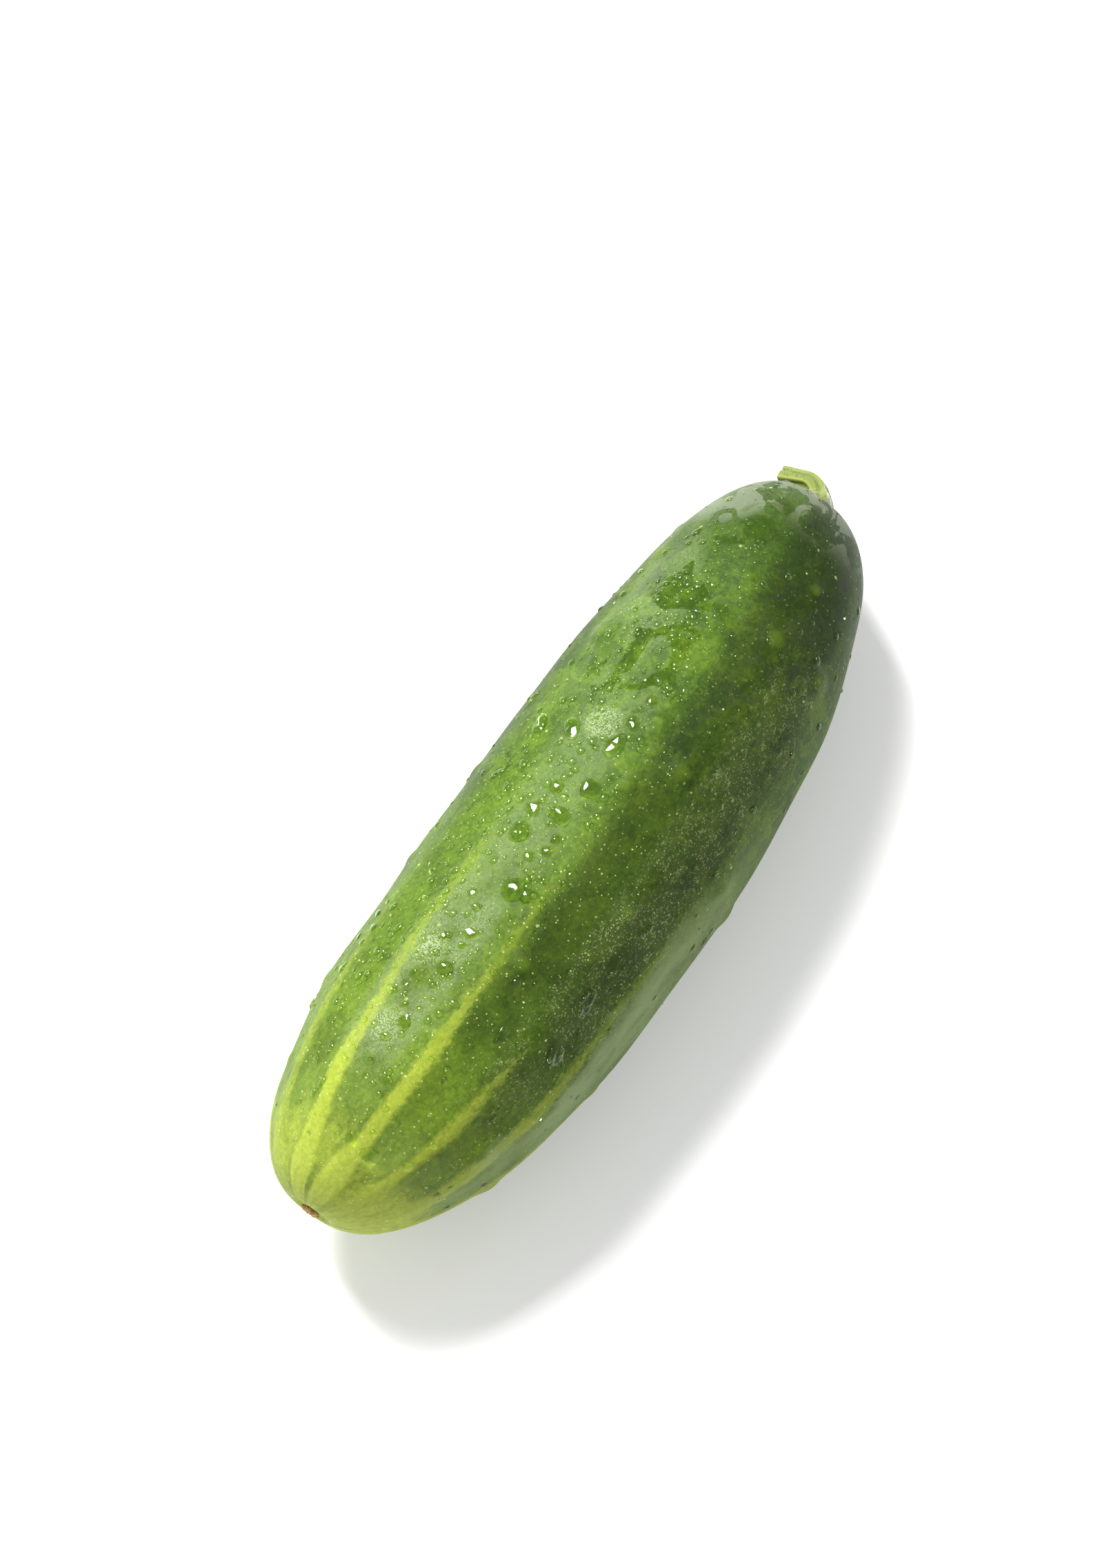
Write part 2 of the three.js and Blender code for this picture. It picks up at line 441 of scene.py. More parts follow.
class Recipe:
    """A Geometry Nodes tree with named inputs, run once on a host mesh to give a plain mesh."""

    SOCKETS = {float: "NodeSocketFloat", int: "NodeSocketInt", bpy.types.Object: "NodeSocketObject"}

    def __init__(self, name: str) -> None:
        """Start the tree with its geometry in and out."""
        self.name = name
        self.tree = bpy.data.node_groups.new(name, "GeometryNodeTree")
        self.tree.interface.new_socket("Geometry", in_out="INPUT", socket_type="NodeSocketGeometry")
        self.tree.interface.new_socket("Geometry", in_out="OUTPUT", socket_type="NodeSocketGeometry")
        self.graph = Graph(self.tree)
        self.entry = self.graph.node("NodeGroupInput")
        self.settings: dict[str, object] = {}

    @property
    def host(self) -> Field:
        """The mesh that the tree is run on."""
        return Field(self.graph, self.entry.outputs["Geometry"])

    def given(self, name: str, value: float | int | bpy.types.Object) -> Field:
        """Add a named input of the value's own type, and return it as a field."""
        socket_type = self.SOCKETS[type(value)]
        socket = self.tree.interface.new_socket(name, in_out="INPUT", socket_type=socket_type)
        self.settings[socket.identifier] = value
        return Field(self.graph, self.entry.outputs[name])

    def stored(self, geometry: Field, name: str, value: Field, kind: str = "FLOAT",
               domain: str = "POINT") -> Field:
        """Keep a field on the geometry as a named attribute."""
        inputs = {"Geometry": geometry, "Name": name, "Value": value}
        return self.graph.out("GeometryNodeStoreNamedAttribute", "Geometry", inputs, data_type=kind,
                              domain=domain)

    def attribute(self, name: str, kind: str = "FLOAT") -> Field:
        """Read a named attribute."""
        return self.graph.out("GeometryNodeInputNamedAttribute", "Attribute", {"Name": name}, data_type=kind)

    def position(self) -> Field:
        """Where each point is."""
        return self.graph.out("GeometryNodeInputPosition", "Position")

    def normal(self) -> Field:
        """The surface's direction."""
        return self.graph.out("GeometryNodeInputNormal", "Normal")

    def chance(self, low: Number, high: Number, seed: int) -> Field:
        """A random number for each point."""
        inputs = {"Min": low, "Max": high, "Seed": seed}
        return self.graph.out("FunctionNodeRandomValue", "Value", inputs, data_type="FLOAT")

    def sampled(self, geometry: Field, value: Field, index: Field, kind: str = "FLOAT") -> Field:
        """Read a value at one point of another geometry, by the point's index."""
        inputs = {"Geometry": geometry, "Value": value, "Index": index}
        return self.graph.out("GeometryNodeSampleIndex", "Value", inputs, data_type=kind, domain="POINT")

    def placed(self, geometry: Field, position: Field) -> Field:
        """Put each point of the geometry at a position."""
        inputs = {"Geometry": geometry, "Position": position}
        return self.graph.out("GeometryNodeSetPosition", "Geometry", inputs)

    def shifted(self, geometry: Field, offset: Field) -> Field:
        """Move each point of the geometry by an offset."""
        inputs = {"Geometry": geometry, "Offset": offset}
        return self.graph.out("GeometryNodeSetPosition", "Geometry", inputs)

    def merged(self, geometry: Field, distance: float) -> Field:
        """Join points that lie together, which closes seams and poles."""
        inputs = {"Geometry": geometry, "Distance": distance}
        return self.graph.out("GeometryNodeMergeByDistance", "Geometry", inputs)

    def points_of(self, name: str, marks: bpy.types.Object) -> Field:
        """The points of another object, which becomes a named input."""
        return self.graph.out("GeometryNodeObjectInfo", "Geometry", {"Object": self.given(name, marks)})

    def tube(self, around: int, along: int) -> tuple[Field, Field, Field]:
        """A grid to be turned into a form that closes on itself.

        Args:
            around: Steps round the form.
            along: Steps from its start to its end.

        Returns:
            The grid, the angle of each of its points round the form, and its share of the way along.
        """
        counts = {"Size X": 1.0, "Size Y": 1.0, "Vertices X": around + 1, "Vertices Y": along + 1}
        grid = self.graph.out("GeometryNodeMeshGrid", "Mesh", counts)
        x, y, _ = self.graph.split(self.position())
        grid = self.stored(grid, "turn", (x + 0.5) * math.tau)
        grid = self.stored(grid, "run", y + 0.5)
        return grid, self.attribute("turn"), self.attribute("run")

    def dome(self, segments: int, rings: int, sink: float) -> Field:
        """A round bead one unit across that sits with its flat underside below the surface.

        Args:
            segments: Sides round the bead.
            rings: Rings from pole to pole.
            sink: Depth of its underside as a share of its radius.

        Returns:
            The bead's mesh.
        """
        inputs = {"Segments": segments, "Rings": rings, "Radius": 0.5}
        ball = self.graph.out("GeometryNodeMeshUVSphere", "Mesh", inputs)
        x, y, z = self.graph.split(self.position())
        return self.placed(ball, self.graph.vector(x, y, larger(z, -0.5 * sink)))

    def instances(self, points: Field, shape: Field, direction: Field, scale: Field, turn: Field) -> Field:
        """Copy a shape to each point, standing along a direction.

        Args:
            points: Where the copies go.
            shape: The mesh to copy.
            direction: The way that the shape's +Z points.
            scale: Size of each copy, as a vector.
            turn: Turn of each copy about its own +Z, in radians.

        Returns:
            The copies as real mesh.
        """
        spin = self.graph.vector(0.0, 0.0, turn)
        spun = self.graph.out("FunctionNodeEulerToRotation", 0, {0: spin})
        stand = self.graph.out("FunctionNodeAlignRotationToVector", 0, {"Vector": direction}, axis="Z")
        rotation = self.graph.out("FunctionNodeRotateRotation", 0, {0: stand, 1: spun},
                                  rotation_space="LOCAL")
        inputs = {"Points": points, "Instance": shape, "Rotation": rotation, "Scale": scale}
        copies = self.graph.out("GeometryNodeInstanceOnPoints", "Instances", inputs)
        return self.graph.out("GeometryNodeRealizeInstances", "Geometry", {"Geometry": copies})

    def run(self, piece_name: str, result: Field, material: bpy.types.Material | None,
            host: bpy.types.Mesh | None = None) -> bpy.types.Object:
        """Finish the tree, run it and keep the result as a plain mesh.

        Args:
            piece_name: Name of the new object.
            result: The geometry that the tree makes.
            material: The finish that it gets, if it needs one.
            host: Mesh that the tree reads as its geometry in.

        Returns:
            The new object, with no modifier left on it.
        """
        real = self.graph.out("GeometryNodeRealizeInstances", "Geometry", {"Geometry": result})
        soft = self.graph.out("GeometryNodeSetShadeSmooth", "Geometry", {"Geometry": real})
        inputs = {"Geometry": soft, "Material": material}
        dressed = self.graph.out("GeometryNodeSetMaterial", "Geometry", inputs)
        self.graph.node("NodeGroupOutput", {"Geometry": dressed})

        mesh = host or bpy.data.meshes.new(f"{piece_name}_host")
        maker = put(f"{piece_name}_maker", mesh)
        modifier = maker.modifiers.new(self.name, "NODES")
        modifier.node_group = self.tree
        for identifier, value in self.settings.items():
            modifier[identifier] = value
        graph = bpy.context.evaluated_depsgraph_get()
        made = bpy.data.meshes.new_from_object(maker.evaluated_get(graph), preserve_all_data_layers=True,
                                               depsgraph=graph)
        made.name = piece_name
        bpy.data.objects.remove(maker)
        return put(piece_name, made)


def marker(name: str, points: list[Vector], numbers: dict[str, list[float]],
           facing: list[Vector] | None = None) -> bpy.types.Object:
    """A bare set of points with named numbers, for a recipe to read.

    Args:
        name: Name of the object.
        points: Where the points are.
        numbers: A number for each point, by name.
        facing: A direction for each point, if the recipe needs one.

    Returns:
        The object with the points.
    """
    mesh = bpy.data.meshes.new(name)
    mesh.from_pydata([tuple(point) for point in points], [], [])
    for key, values in numbers.items():
        mesh.attributes.new(key, "FLOAT", "POINT").data.foreach_set("value", values)
    if facing:
        flat = [number for direction in facing for number in direction]
        mesh.attributes.new("facing", "FLOAT_VECTOR", "POINT").data.foreach_set("vector", flat)
    return put(name, mesh)


@dataclass(frozen=True)
class EndCap:
    """How one end of the fruit is rounded: over what share of the length, and how bluntly."""

    reach: float
    roundness: float
    bluntness: float


@dataclass(frozen=True)
class Dimple:
    """A dimple in an end, flat out to the inner radius and gone at the outer one."""

    inner: float
    outer: float
    depth: float


@dataclass(frozen=True)
class FruitForm:
    """The rule of the fruit's shape, as in the part's source. Its sizes may be numbers or fields."""

    length: Number = 168 * MM
    radius: Number = 27 * MM
    bow: Number = 4.2 * MM
    sink: Number = 0.8 * MM
    rib_height: Number = 0.26 * MM
    carpel_depth: Number = 0.35 * MM
    lump_height: Number = 0.35 * MM
    wart_radius: Number = 3.2 * MM
    wart_height: Number = 0.45 * MM
    blossom_cap: EndCap = EndCap(0.32, 2.2, 2.7)
    stalk_cap: EndCap = EndCap(0.48, 2.2, 2.85)
    blossom_dimple: Dimple = Dimple(2.5 * MM, 5 * MM, 1.2 * MM)
    stalk_dimple: Dimple = Dimple(4.2 * MM, 7.5 * MM, 1.6 * MM)
    widest: float = 0.53
    blossom_taper: float = 0.13
    stalk_taper: float = 0.04
    ribs: int = 12
    rib_turn: float = 0.0785
    carpels: int = 3
    carpel_turn: float = 0.5

    def end_cap(self, distance: Number, cap: EndCap) -> Number:
        """Share of the full radius left at a distance from one end."""
        inward = 1.0 - clamp01(distance / (cap.reach * self.length))
        return larger(1.0 - inward ** cap.roundness, 0.0) ** (1 / cap.bluntness)

    def radius_at(self, share: Number) -> Number:
        """Radius of the plain fruit at a share of its length."""
        side = share - self.widest
        before = below(side, 0.0)
        near = self.blossom_taper * (side / self.widest) * (side / self.widest)
        far = self.stalk_taper * (side / (1 - self.widest)) * (side / (1 - self.widest))
        belly = 1.0 - before * near - (1.0 - before) * far
        blossom = self.end_cap(share * self.length, self.blossom_cap)
        stalk = self.end_cap((1.0 - share) * self.length, self.stalk_cap)
        return self.radius * belly * blossom * stalk

    def bow_at(self, share: Number) -> Number:
        """Sideways place of the centre line."""
        middle = 2.0 * share - 1.0
        return self.bow * (middle * middle - 1 / 3)

    def lumps_at(self, share: Number, angle: Number) -> Number:
        """Height of the low lumps of the skin."""
        along = share * math.tau
        first = sine(2.0 * angle + 3.1 * along) * cosine(2.2 * along + 0.7)
        second = sine(3.0 * angle - 4.7 * along + 1.9) * 0.8
        third = sine(5.0 * angle + 6.3 * along + 4.2) * 0.5
        return self.lump_height * (first + second + third) * 0.5

    def relief_at(self, share: Number, angle: Number) -> Number:
        """Height of ribs, rounded sides and lumps together, without the warts."""
        fade = smooth(0.0, 0.12, share) * (1.0 - smooth(0.9, 1.0, share))
        rib_fade = smooth(0.0, 0.1, share) * (1.0 - smooth(0.3, 0.75, share))
        rib = self.rib_height * rib_fade * cosine(self.ribs * (angle - self.rib_turn))
        carpel = self.carpel_depth * cosine(self.carpels * (angle - self.carpel_turn))
        return rib + fade * (carpel + self.lumps_at(share, angle))

    def end_at(self, share: Number, plain: Number) -> Number:
        """How far the dimples draw a point along X."""
        def drawn(dimple: Dimple) -> Number:
            """Depth of one dimple at the plain radius."""
            return dimple.depth * (1.0 - smooth(dimple.inner, dimple.outer, plain))
        first_half = below(share, 0.5)
        return first_half * drawn(self.blossom_dimple) - (1.0 - first_half) * drawn(self.stalk_dimple)

    def heart(self, share: float) -> Vector:
        """Point of the centre line, in the part's frame."""
        along = (share - 0.5) * self.length
        return Vector((along, self.bow_at(share), self.radius - self.sink)) - BOX_MIDDLE

    def outward(self, angle: float) -> Vector:
        """Direction away from the centre line at an angle round it."""
        return Vector((0.0, math.cos(angle), math.sin(angle)))


@dataclass(frozen=True)
class WartRule:
    """The rule that places the warts, as in the part's source."""

    count: int = 58
    seed: int = 4127
    spacing: float = 10 * MM
    first: float = 0.1
    last: float = 0.95

    def places(self, form: FruitForm) -> list[tuple[float, float, float]]:
        """Draw the warts one by one, dropping each that would stand too near an earlier one.

        Args:
            form: The fruit that they stand on.

        Returns:
            Share of the length, angle and size of each.
        """
        multiplier, modulus = 48271, 2147483647
        state = self.seed
        kept: list[tuple[float, float, float]] = []
        points: list[Vector] = []
        while len(kept) < self.count:
            draws = []
            for _ in range(3):
                state = state * multiplier % modulus
                draws.append(state / modulus)
            share = self.first + (self.last - self.first) * draws[0]
            angle = draws[1] * math.tau
            point = flat_point(form, share, angle)
            if all((other - point).length > self.spacing for other in points):
                kept.append((share, angle, 0.75 + 0.45 * draws[2]))
                points.append(point)
        return kept


def flat_point(form: FruitForm, share: float, angle: float) -> Vector:
    """Point of the plain fruit before it is bowed, from its blossom end."""
    radius = form.radius_at(share)
    return Vector((share * form.length, radius * math.cos(angle), radius * math.sin(angle)))


class Side(Enum):
    """Sockets of the Principled shader that take a value which changes over the surface."""

    COLOUR = "Base Color"
    ROUGHNESS = "Roughness"
    COAT = "Coat Weight"


class Finish:
    """A material with a Principled shader, as a start for the finishes below."""

    def __init__(self, name: str, **constants: float) -> None:
        """Make the material, with its constant numbers on the shader's own sockets."""
        self.material = bpy.data.materials.new(name)
        self.material.use_nodes = True
        self.graph = Graph(self.material.node_tree)
        self.graph.tree.nodes.clear()
        self.shader = self.graph.node("ShaderNodeBsdfPrincipled")
        self.output = self.graph.node("ShaderNodeOutputMaterial", {"Surface": self.shader.outputs[0]})
        for key, value in constants.items():
            self.shader.inputs[key.replace("_", " ")].default_value = value

    def set(self, side: Side, value: object) -> None:
        """Feed one of the shader's sockets."""
        self.graph.feed(self.shader.inputs[side.value], value)

    def raise_by(self, height: Field) -> None:
        """Bump the surface by a height in metres."""
        bump = self.graph.node("ShaderNodeBump", {"Strength": 1.0, "Distance": 1.0, "Height": height})
        self.graph.feed(self.shader.inputs["Normal"], bump.outputs["Normal"])


@dataclass(frozen=True)
class Stripe:
    """One pale stripe: how far it runs, its half width and its sideways drift, both as shares of the gap
    between two stripes, and its strength."""

    reach: float
    half: float
    drift: float
    strength: float

    def numbers(self) -> tuple[float, float, float, float]:
        """The stripe's numbers in the places of a colour."""
        return self.reach, self.half, self.drift, self.strength


@dataclass(frozen=True)
class SkinPoint:
    """What the skin's material reads at a point of the skin."""

    graph: Graph
    place: Field
    along: Field
    around: Field
    angle: Field
    wart: Field
    wet: Field

    @classmethod
    def of(cls, graph: Graph) -> "SkinPoint":
        """Read the attributes that the skin's mesh carries."""
        place = graph.place()
        around, _, _ = graph.split(graph.out("ShaderNodeUVMap", "UV", uv_map="skin"))
        return cls(graph, place, graph.carried("along"), around, around * math.tau, graph.carried("wart"),
                   graph.carried("wet"))

    def noise(self, size: float, longer: float = 1.0, **settings: float) -> Field:
        """Noise with blotches of a size, longer along the fruit by a factor."""
        return self.graph.noise(self.graph.stretched(self.place, longer), size, **settings)


@dataclass(frozen=True)
class Band:
    """A soft band along the fruit: its direction round the fruit in degrees, and the cosines of the
    angles from there at which it begins and is full."""

    degrees: float
    begins: float
    full: float

    def at(self, point: SkinPoint, lean: Number = 0.0) -> Field:
        """How much of a point is in the band, which may lean aside by an angle."""
        return smooth(self.begins, self.full, cosine(point.angle - math.radians(self.degrees) + lean))


@dataclass(frozen=True)
class Run:
    """A soft stretch of the fruit, as shares of its length: where it begins, is full, wanes and is gone."""

    begins: float
    full: float
    wanes: float
    gone: float

    def at(self, point: SkinPoint, early: Number = 0.0) -> Field:
        """How much of a point is in the stretch, whose end may come earlier by a share."""
        end = 1.0 - smooth(self.wanes, self.gone, point.along + early)
        return smooth(self.begins, self.full, point.along) * end


@dataclass(frozen=True)
class SkinFinish:
    """Waxy green skin with paler stripes from the blossom end, speckled, dewy and wet in patches, with
    painted light, shade, glare and reflections.
    """

    stripe_turn: float = math.radians(5.3)
    stripes: tuple[Stripe, ...] = (
        Stripe(0.30, 0.16, 0.10, 0.8),
        Stripe(0.30, 0.15, 0.16, 0.4),
        Stripe(0.40, 0.17, 0.24, 1.0),
        Stripe(0.39, 0.15, 0.05, 1.0),
        Stripe(0.20, 0.09, 0.06, 1.0),
        Stripe(0.42, 0.16, 0.20, 1.0),
        Stripe(0.26, 0.20, 0.04, 0.9),
        Stripe(0.40, 0.15, 0.12, 0.9),
        Stripe(0.30, 0.19, 0.00, 0.8),
        Stripe(0.36, 0.16, 0.08, 1.0),
        Stripe(0.28, 0.18, 0.14, 0.8),
        Stripe(0.38, 0.20, 0.02, 0.9),
    )
    tip: tuple = paint(154, 168, 64)
    milky: tuple = paint(98, 120, 48)
    shoulder: tuple = paint(86, 109, 26)
    flank: tuple = paint(57, 84, 6)
    neck: tuple = paint(40, 62, 4)
    stripe_near: tuple = paint(140, 154, 50)
    stripe_far: tuple = paint(96, 116, 18)
    blotch: tuple = paint(86, 110, 20)
    shadow: tuple = paint(36, 56, 6)
    # Pale specks: partly lenticels, partly painted glints of tiny dew.
    dot: tuple = paint(188, 198, 132)
    net: tuple = paint(78, 90, 52)
    wisp: tuple = paint(164, 178, 112)
    # Dew, painted paler as the lamp's sheen on it.
    dew_sheen_colour: tuple = paint(108, 125, 82)
    # Painted reflection of the white table, low on the fruit.
    low_veil: tuple = paint(126, 142, 94)
    # Painted glare on thick dew.
    frost: tuple = paint(170, 184, 142)
    # Painted reflection in the wet patches round the stalk.
    glaze: tuple = paint(106, 114, 94)

    crest: Band = Band(69, 0.85, 0.99)
    # Band of the dew and its painted sheen along the crown.
    crown: Band = Band(69, 0.95, 0.993)
    glare: Band = Band(69, 0.93, 0.98)
    # Painted light: the band on the side that faces the lamp, where the ground is lightened.
    sunny: Band = Band(45, -0.1, 0.8)
    calm: Band = Band(45, 0.8, 0.97)
    # Painted shade on the side turned from the lamp.
    turned: Band = Band(120, 0.86, 0.95)
    # Painted shadow along the +Y side, as if a second fruit lay there.
    neighbour_shadow_side: Band = Band(0, 0.74, 0.94)
    dusty: Band = Band(135, 0.93, 0.98)
    # Side where the painted reflection of the table lies.
    low_side: Band = Band(170, 0.93, 0.98)
    # Band of the dew and its painted sheen beside the crown near the stalk.
    stalk_veil: Band = Band(53, 0.91, 0.985)
    # Side along which the painted wet reflection reaches further.
    glazed: Band = Band(33, 0.75, 0.97)
    # Stretch of the fruit that the painted shadow along the +Y side covers.
    neighbour_shadow_run: Run = Run(0.3, 0.6, 0.76, 0.84)
    middle_run: Run = Run(0.2, 0.5, 0.75, 0.9)
    dusty_run: Run = Run(0.14, 0.28, 0.72, 0.88)
    crown_run: Run = Run(0.12, 0.2, 0.6, 0.72)
    low_run: Run = Run(0.02, 0.2, 0.4, 0.7)

    # Where the spots of painted glare lie: share of the length and angle in degrees.
    frosted: tuple[tuple[float, float], ...] = ((0.295, 67.0), (0.61, 69.5), (0.2, 71.0))
    frost_reach: tuple[float, float] = (0.028, 0.17)
    film_shift: tuple[float, float, float] = (0.031, 0.017, 0.0)
    tip_line_count: float = 31.0
    cloud_size: float = 9 * MM
    mottle_size: float = 7 * MM
    island_size: float = 3.4 * MM
    granule_size: float = 1.5 * MM
    crumb_size: float = 1.1 * MM
    pore_size: float = 0.8 * MM
    puddle_size: float = 9 * MM
    glaze_size: float = 6 * MM
    dust_size: float = 7 * MM
    low_patch_size: float = 10 * MM
    dew_patch_size: float = 14 * MM
    dew_size: float = 0.34 * MM
    pit_height: float = 0.03 * MM
    swell_height: float = 0.18 * MM
    dew_height: float = 0.06 * MM
    crust_height: float = 0.06 * MM
    stripe_cover: float = 0.92
    tip_line_cover: float = 0.5
    shadow_cover: float = 0.5
    floor_reflection_cover: float = 0.75
    frost_cover: float = 0.4
    wet_darkening: float = 0.16
    dry_roughness: float = 0.56

    def stripe_mask(self, point: SkinPoint) -> Field:
        """How much of a point belongs to a stripe, which breaks up as it runs to the stalk."""
        along = point.along
        count = len(self.stripes)
        sway = point.noise(9 * MM, longer=3.0) - 0.5
        phase = (point.around - self.stripe_turn / math.tau) * float(count) + sway * 0.3
        index = (phase + 0.5).math("FLOOR")
        numbers, strength = point.graph.steps((index / count).math("FRACT"),
                                              [stripe.numbers() for stripe in self.stripes])
        reach, half, drift = point.graph.split(numbers)
        distance = (phase - index + drift * smooth(0.02, 0.35, along)).math("ABSOLUTE")
        fine = point.noise(1.2 * MM, longer=1.6, detail=4.0, ragged=0.7) - 0.5
        flare = 0.24 * (1.0 - smooth(0.0, 0.1, along))
        taper = 1.0 - 0.5 * smooth(0.1, 0.33, along)
        width = half * taper + flare
        frayed = distance + fine * (0.1 + 0.26 * smooth(0.05, 0.28, along))
        core = 1.0 - smooth(width - 0.07, width + 0.06, frayed)
        left = 1.0 - smooth(reach - 0.08, reach + 0.14, along + sway * 0.12)
        bar = 0.8 - 0.72 * left
        broken = smooth(bar - 0.1, bar + 0.1, point.noise(0.8 * MM, longer=2.0, detail=3.0))
        return core * broken * strength

    def tip_lines(self, point: SkinPoint) -> Field:
        """Thin pale lines that meet at the blossom end."""
        sway = point.noise(6 * MM, detail=1.0) - 0.5
        wave = sine((point.around * self.tip_line_count + sway * 1.6) * math.tau)
        return smooth(0.35, 0.95, wave) * (1.0 - smooth(0.01, 0.13, point.along))

    def ground(self, point: SkinPoint, mottle: Field) -> Field:
        """Green between the stripes, from the pale tip to the dark neck, with clouds and islands in it, and
        painted lighter on the side that faces the lamp.
        """
        graph = point.graph
        drift = point.along + (mottle - 0.5) * 0.08 - self.crest.at(point) * 0.02
        ground = graph.ramp(drift, {0.0: self.tip, 1.0: self.neck, 0.04: self.tip, 0.09: self.milky,
                                    0.15: self.shoulder, 0.3: self.flank, 0.6: self.flank})
        # Painted light: the side that faces the lamp is lightened towards the shoulder green.
        sunny = self.sunny.at(point) * (1.0 - smooth(0.3, 0.7, point.along))
        ground = graph.blend(sunny * 0.5, ground, self.shoulder)
        clouds = point.noise(self.cloud_size, detail=7.0, distortion=0.3, ragged=0.62)
        middle = self.middle_run.at(point)
        ground = graph.blend(smooth(0.5, 0.64, clouds) * middle * 0.45, ground, self.blotch)
        ground = graph.blend(smooth(0.52, 0.34, clouds) * self.shadow_cover, ground, self.shadow)
        islands = point.noise(self.island_size, detail=6.0, distortion=0.6, ragged=0.66)
        return graph.blend(smooth(0.5, 0.57, islands) * (0.12 + 0.3 * middle), ground, self.blotch)

    def striped(self, point: SkinPoint, ground: Field, stripe: Field) -> Field:
        """Lay the stripes and the lines at the tip over the ground."""
        graph = point.graph
        pale = graph.ramp(point.along, {0.0: self.tip, 1.0: self.stripe_far, 0.12: self.stripe_near,
                                        0.4: self.stripe_far})
        colour = graph.blend(stripe * self.stripe_cover, ground, pale)
        return graph.blend(self.tip_lines(point) * self.tip_line_cover, colour, self.stripe_near)

    def shade(self, point: SkinPoint, mottle: Field, granules: Field, crumbs: Field, stripe: Field) -> Field:
        """Fine unevenness of the green, about 1 on average, with painted shade on the side turned from the
        lamp and a painted shadow along the +Y side, as if a second fruit lay there.

        Args:
            point: The point of the skin.
            mottle: Broad unevenness.
            granules: Fine unevenness.
            crumbs: The finest, with crisp edges.
            stripe: How much of the point belongs to a stripe, which is calmer.

        Returns:
            A factor for the colour.
        """
        pores = point.noise(self.pore_size, detail=4.0, ragged=0.7)
        calm = 0.7 - 0.45 * self.calm.at(point)
        unrest = (mottle - 0.5) * calm + (granules - 0.5) * 0.7 + (pores - 0.5) * 1.4
        unrest = unrest * (0.45 + 0.55 * smooth(0.04, 0.2, point.along)) * (1.0 - 0.5 * stripe)
        # Painted shade on the side turned from the lamp, and a painted shadow along the +Y side.
        turned = self.turned.at(point) * smooth(0.15, 0.4, point.along)
        far = self.neighbour_shadow_side.at(point) * self.neighbour_shadow_run.at(point)
        return (1.0 + unrest + (crumbs - 0.5) * 0.16) * (1.0 - 0.5 * turned - 0.38 * far)

    def speckled(self, point: SkinPoint, effects: Effects, colour: Field) -> Field:
        """Add pale specks, partly lenticels and partly painted glints of tiny dew, and lighter skin on the
        warts.
        """
        graph = point.graph
        dots = effects.speckle.on(graph, point.place, Spacing=0.9 * MM, Radius=0.16 * MM, Share=0.7)
        spots = effects.speckle.on(graph, point.place, Spacing=3.0 * MM, Radius=0.3 * MM, Share=0.4)
        sparse = 0.4 + 0.6 * (1.0 - smooth(0.35, 0.8, point.along))
        colour = graph.blend(larger(dots * sparse * 0.75, spots * 0.8), colour, self.dot)
        return graph.blend(smooth(0.45, 1.0, point.wart) * 0.35, colour, self.blotch)

    def build(self, effects: Effects) -> bpy.types.Material:
        """Make the material: green skin with painted light and shade, dull crust on it, then dew with painted
        sheen, glare and reflections, and water.

        Args:
            effects: The shared node groups.

        Returns:
            The finished material.
        """
        finish = Finish("wet_cucumber_skin", IOR=1.26, Coat_Roughness=0.04, Coat_IOR=1.33)
        graph = finish.graph
        point = SkinPoint.of(graph)

        mottle = effects.mottle.on(graph, point.place, Size=self.mottle_size, Stretch=1.6)
        granules = effects.mottle.on(graph, point.place, Size=self.granule_size, Stretch=1.2)
        crumbs = smooth(0.4, 0.6, point.noise(self.crumb_size, detail=6.0, ragged=0.75))
        stripe = self.stripe_mask(point)
        colour = self.striped(point, self.ground(point, mottle), stripe)
        shade = self.shade(point, mottle, granules, crumbs, stripe)
        colour = graph.moved(colour, "MULTIPLY", graph.vector(shade, shade, shade))
        colour = self.speckled(point, effects, colour)

        dust = self.dust(point)
        wisps = self.wisps(point) * dust
        crust = effects.speckle.on(graph, point.place, Spacing=0.5 * MM, Radius=0.16 * MM, Share=0.9)
        crust = crust * (1.0 - 0.5 * smooth(0.35, 0.7, point.along))
        colour = graph.blend(dust * (0.26 + 0.5 * crust), colour, self.net)
        colour = graph.blend(larger(wisps * 0.4, crust * dust * (0.25 + 0.75 * crumbs)), colour, self.wisp)

        film = self.puddles(point, effects)
        soaked = larger(film, point.wet)
        fog = self.fog(point) * (1.0 - soaked) * (1.0 - 0.6 * stripe)
        frost = self.frosting(point) * (1.0 - soaked)
        dew_grain = graph.cells(point.place, self.dew_size)
        # Painted reflection of the white table low on the fruit.
        colour = graph.blend(self.underglow(point) * self.floor_reflection_cover, colour, self.low_veil)
        # Dew with a painted sheen of the lamp along the crown.
        colour = graph.blend(fog * (0.25 + 0.65 * smooth(0.15, 0.75, dew_grain)), colour, self.dew_sheen_colour)
        # Painted glare where the dew lies thick.
        colour = graph.blend(frost * smooth(0.3, 0.75, dew_grain), colour, self.frost)
        # Painted grey reflection in wet patches round the stalk.
        colour = graph.blend(self.glazing(point, effects), colour, self.glaze)
        deep = 1.0 - self.wet_darkening * soaked
        finish.set(Side.COLOUR, graph.moved(colour, "MULTIPLY", graph.vector(deep, deep, deep * deep)))

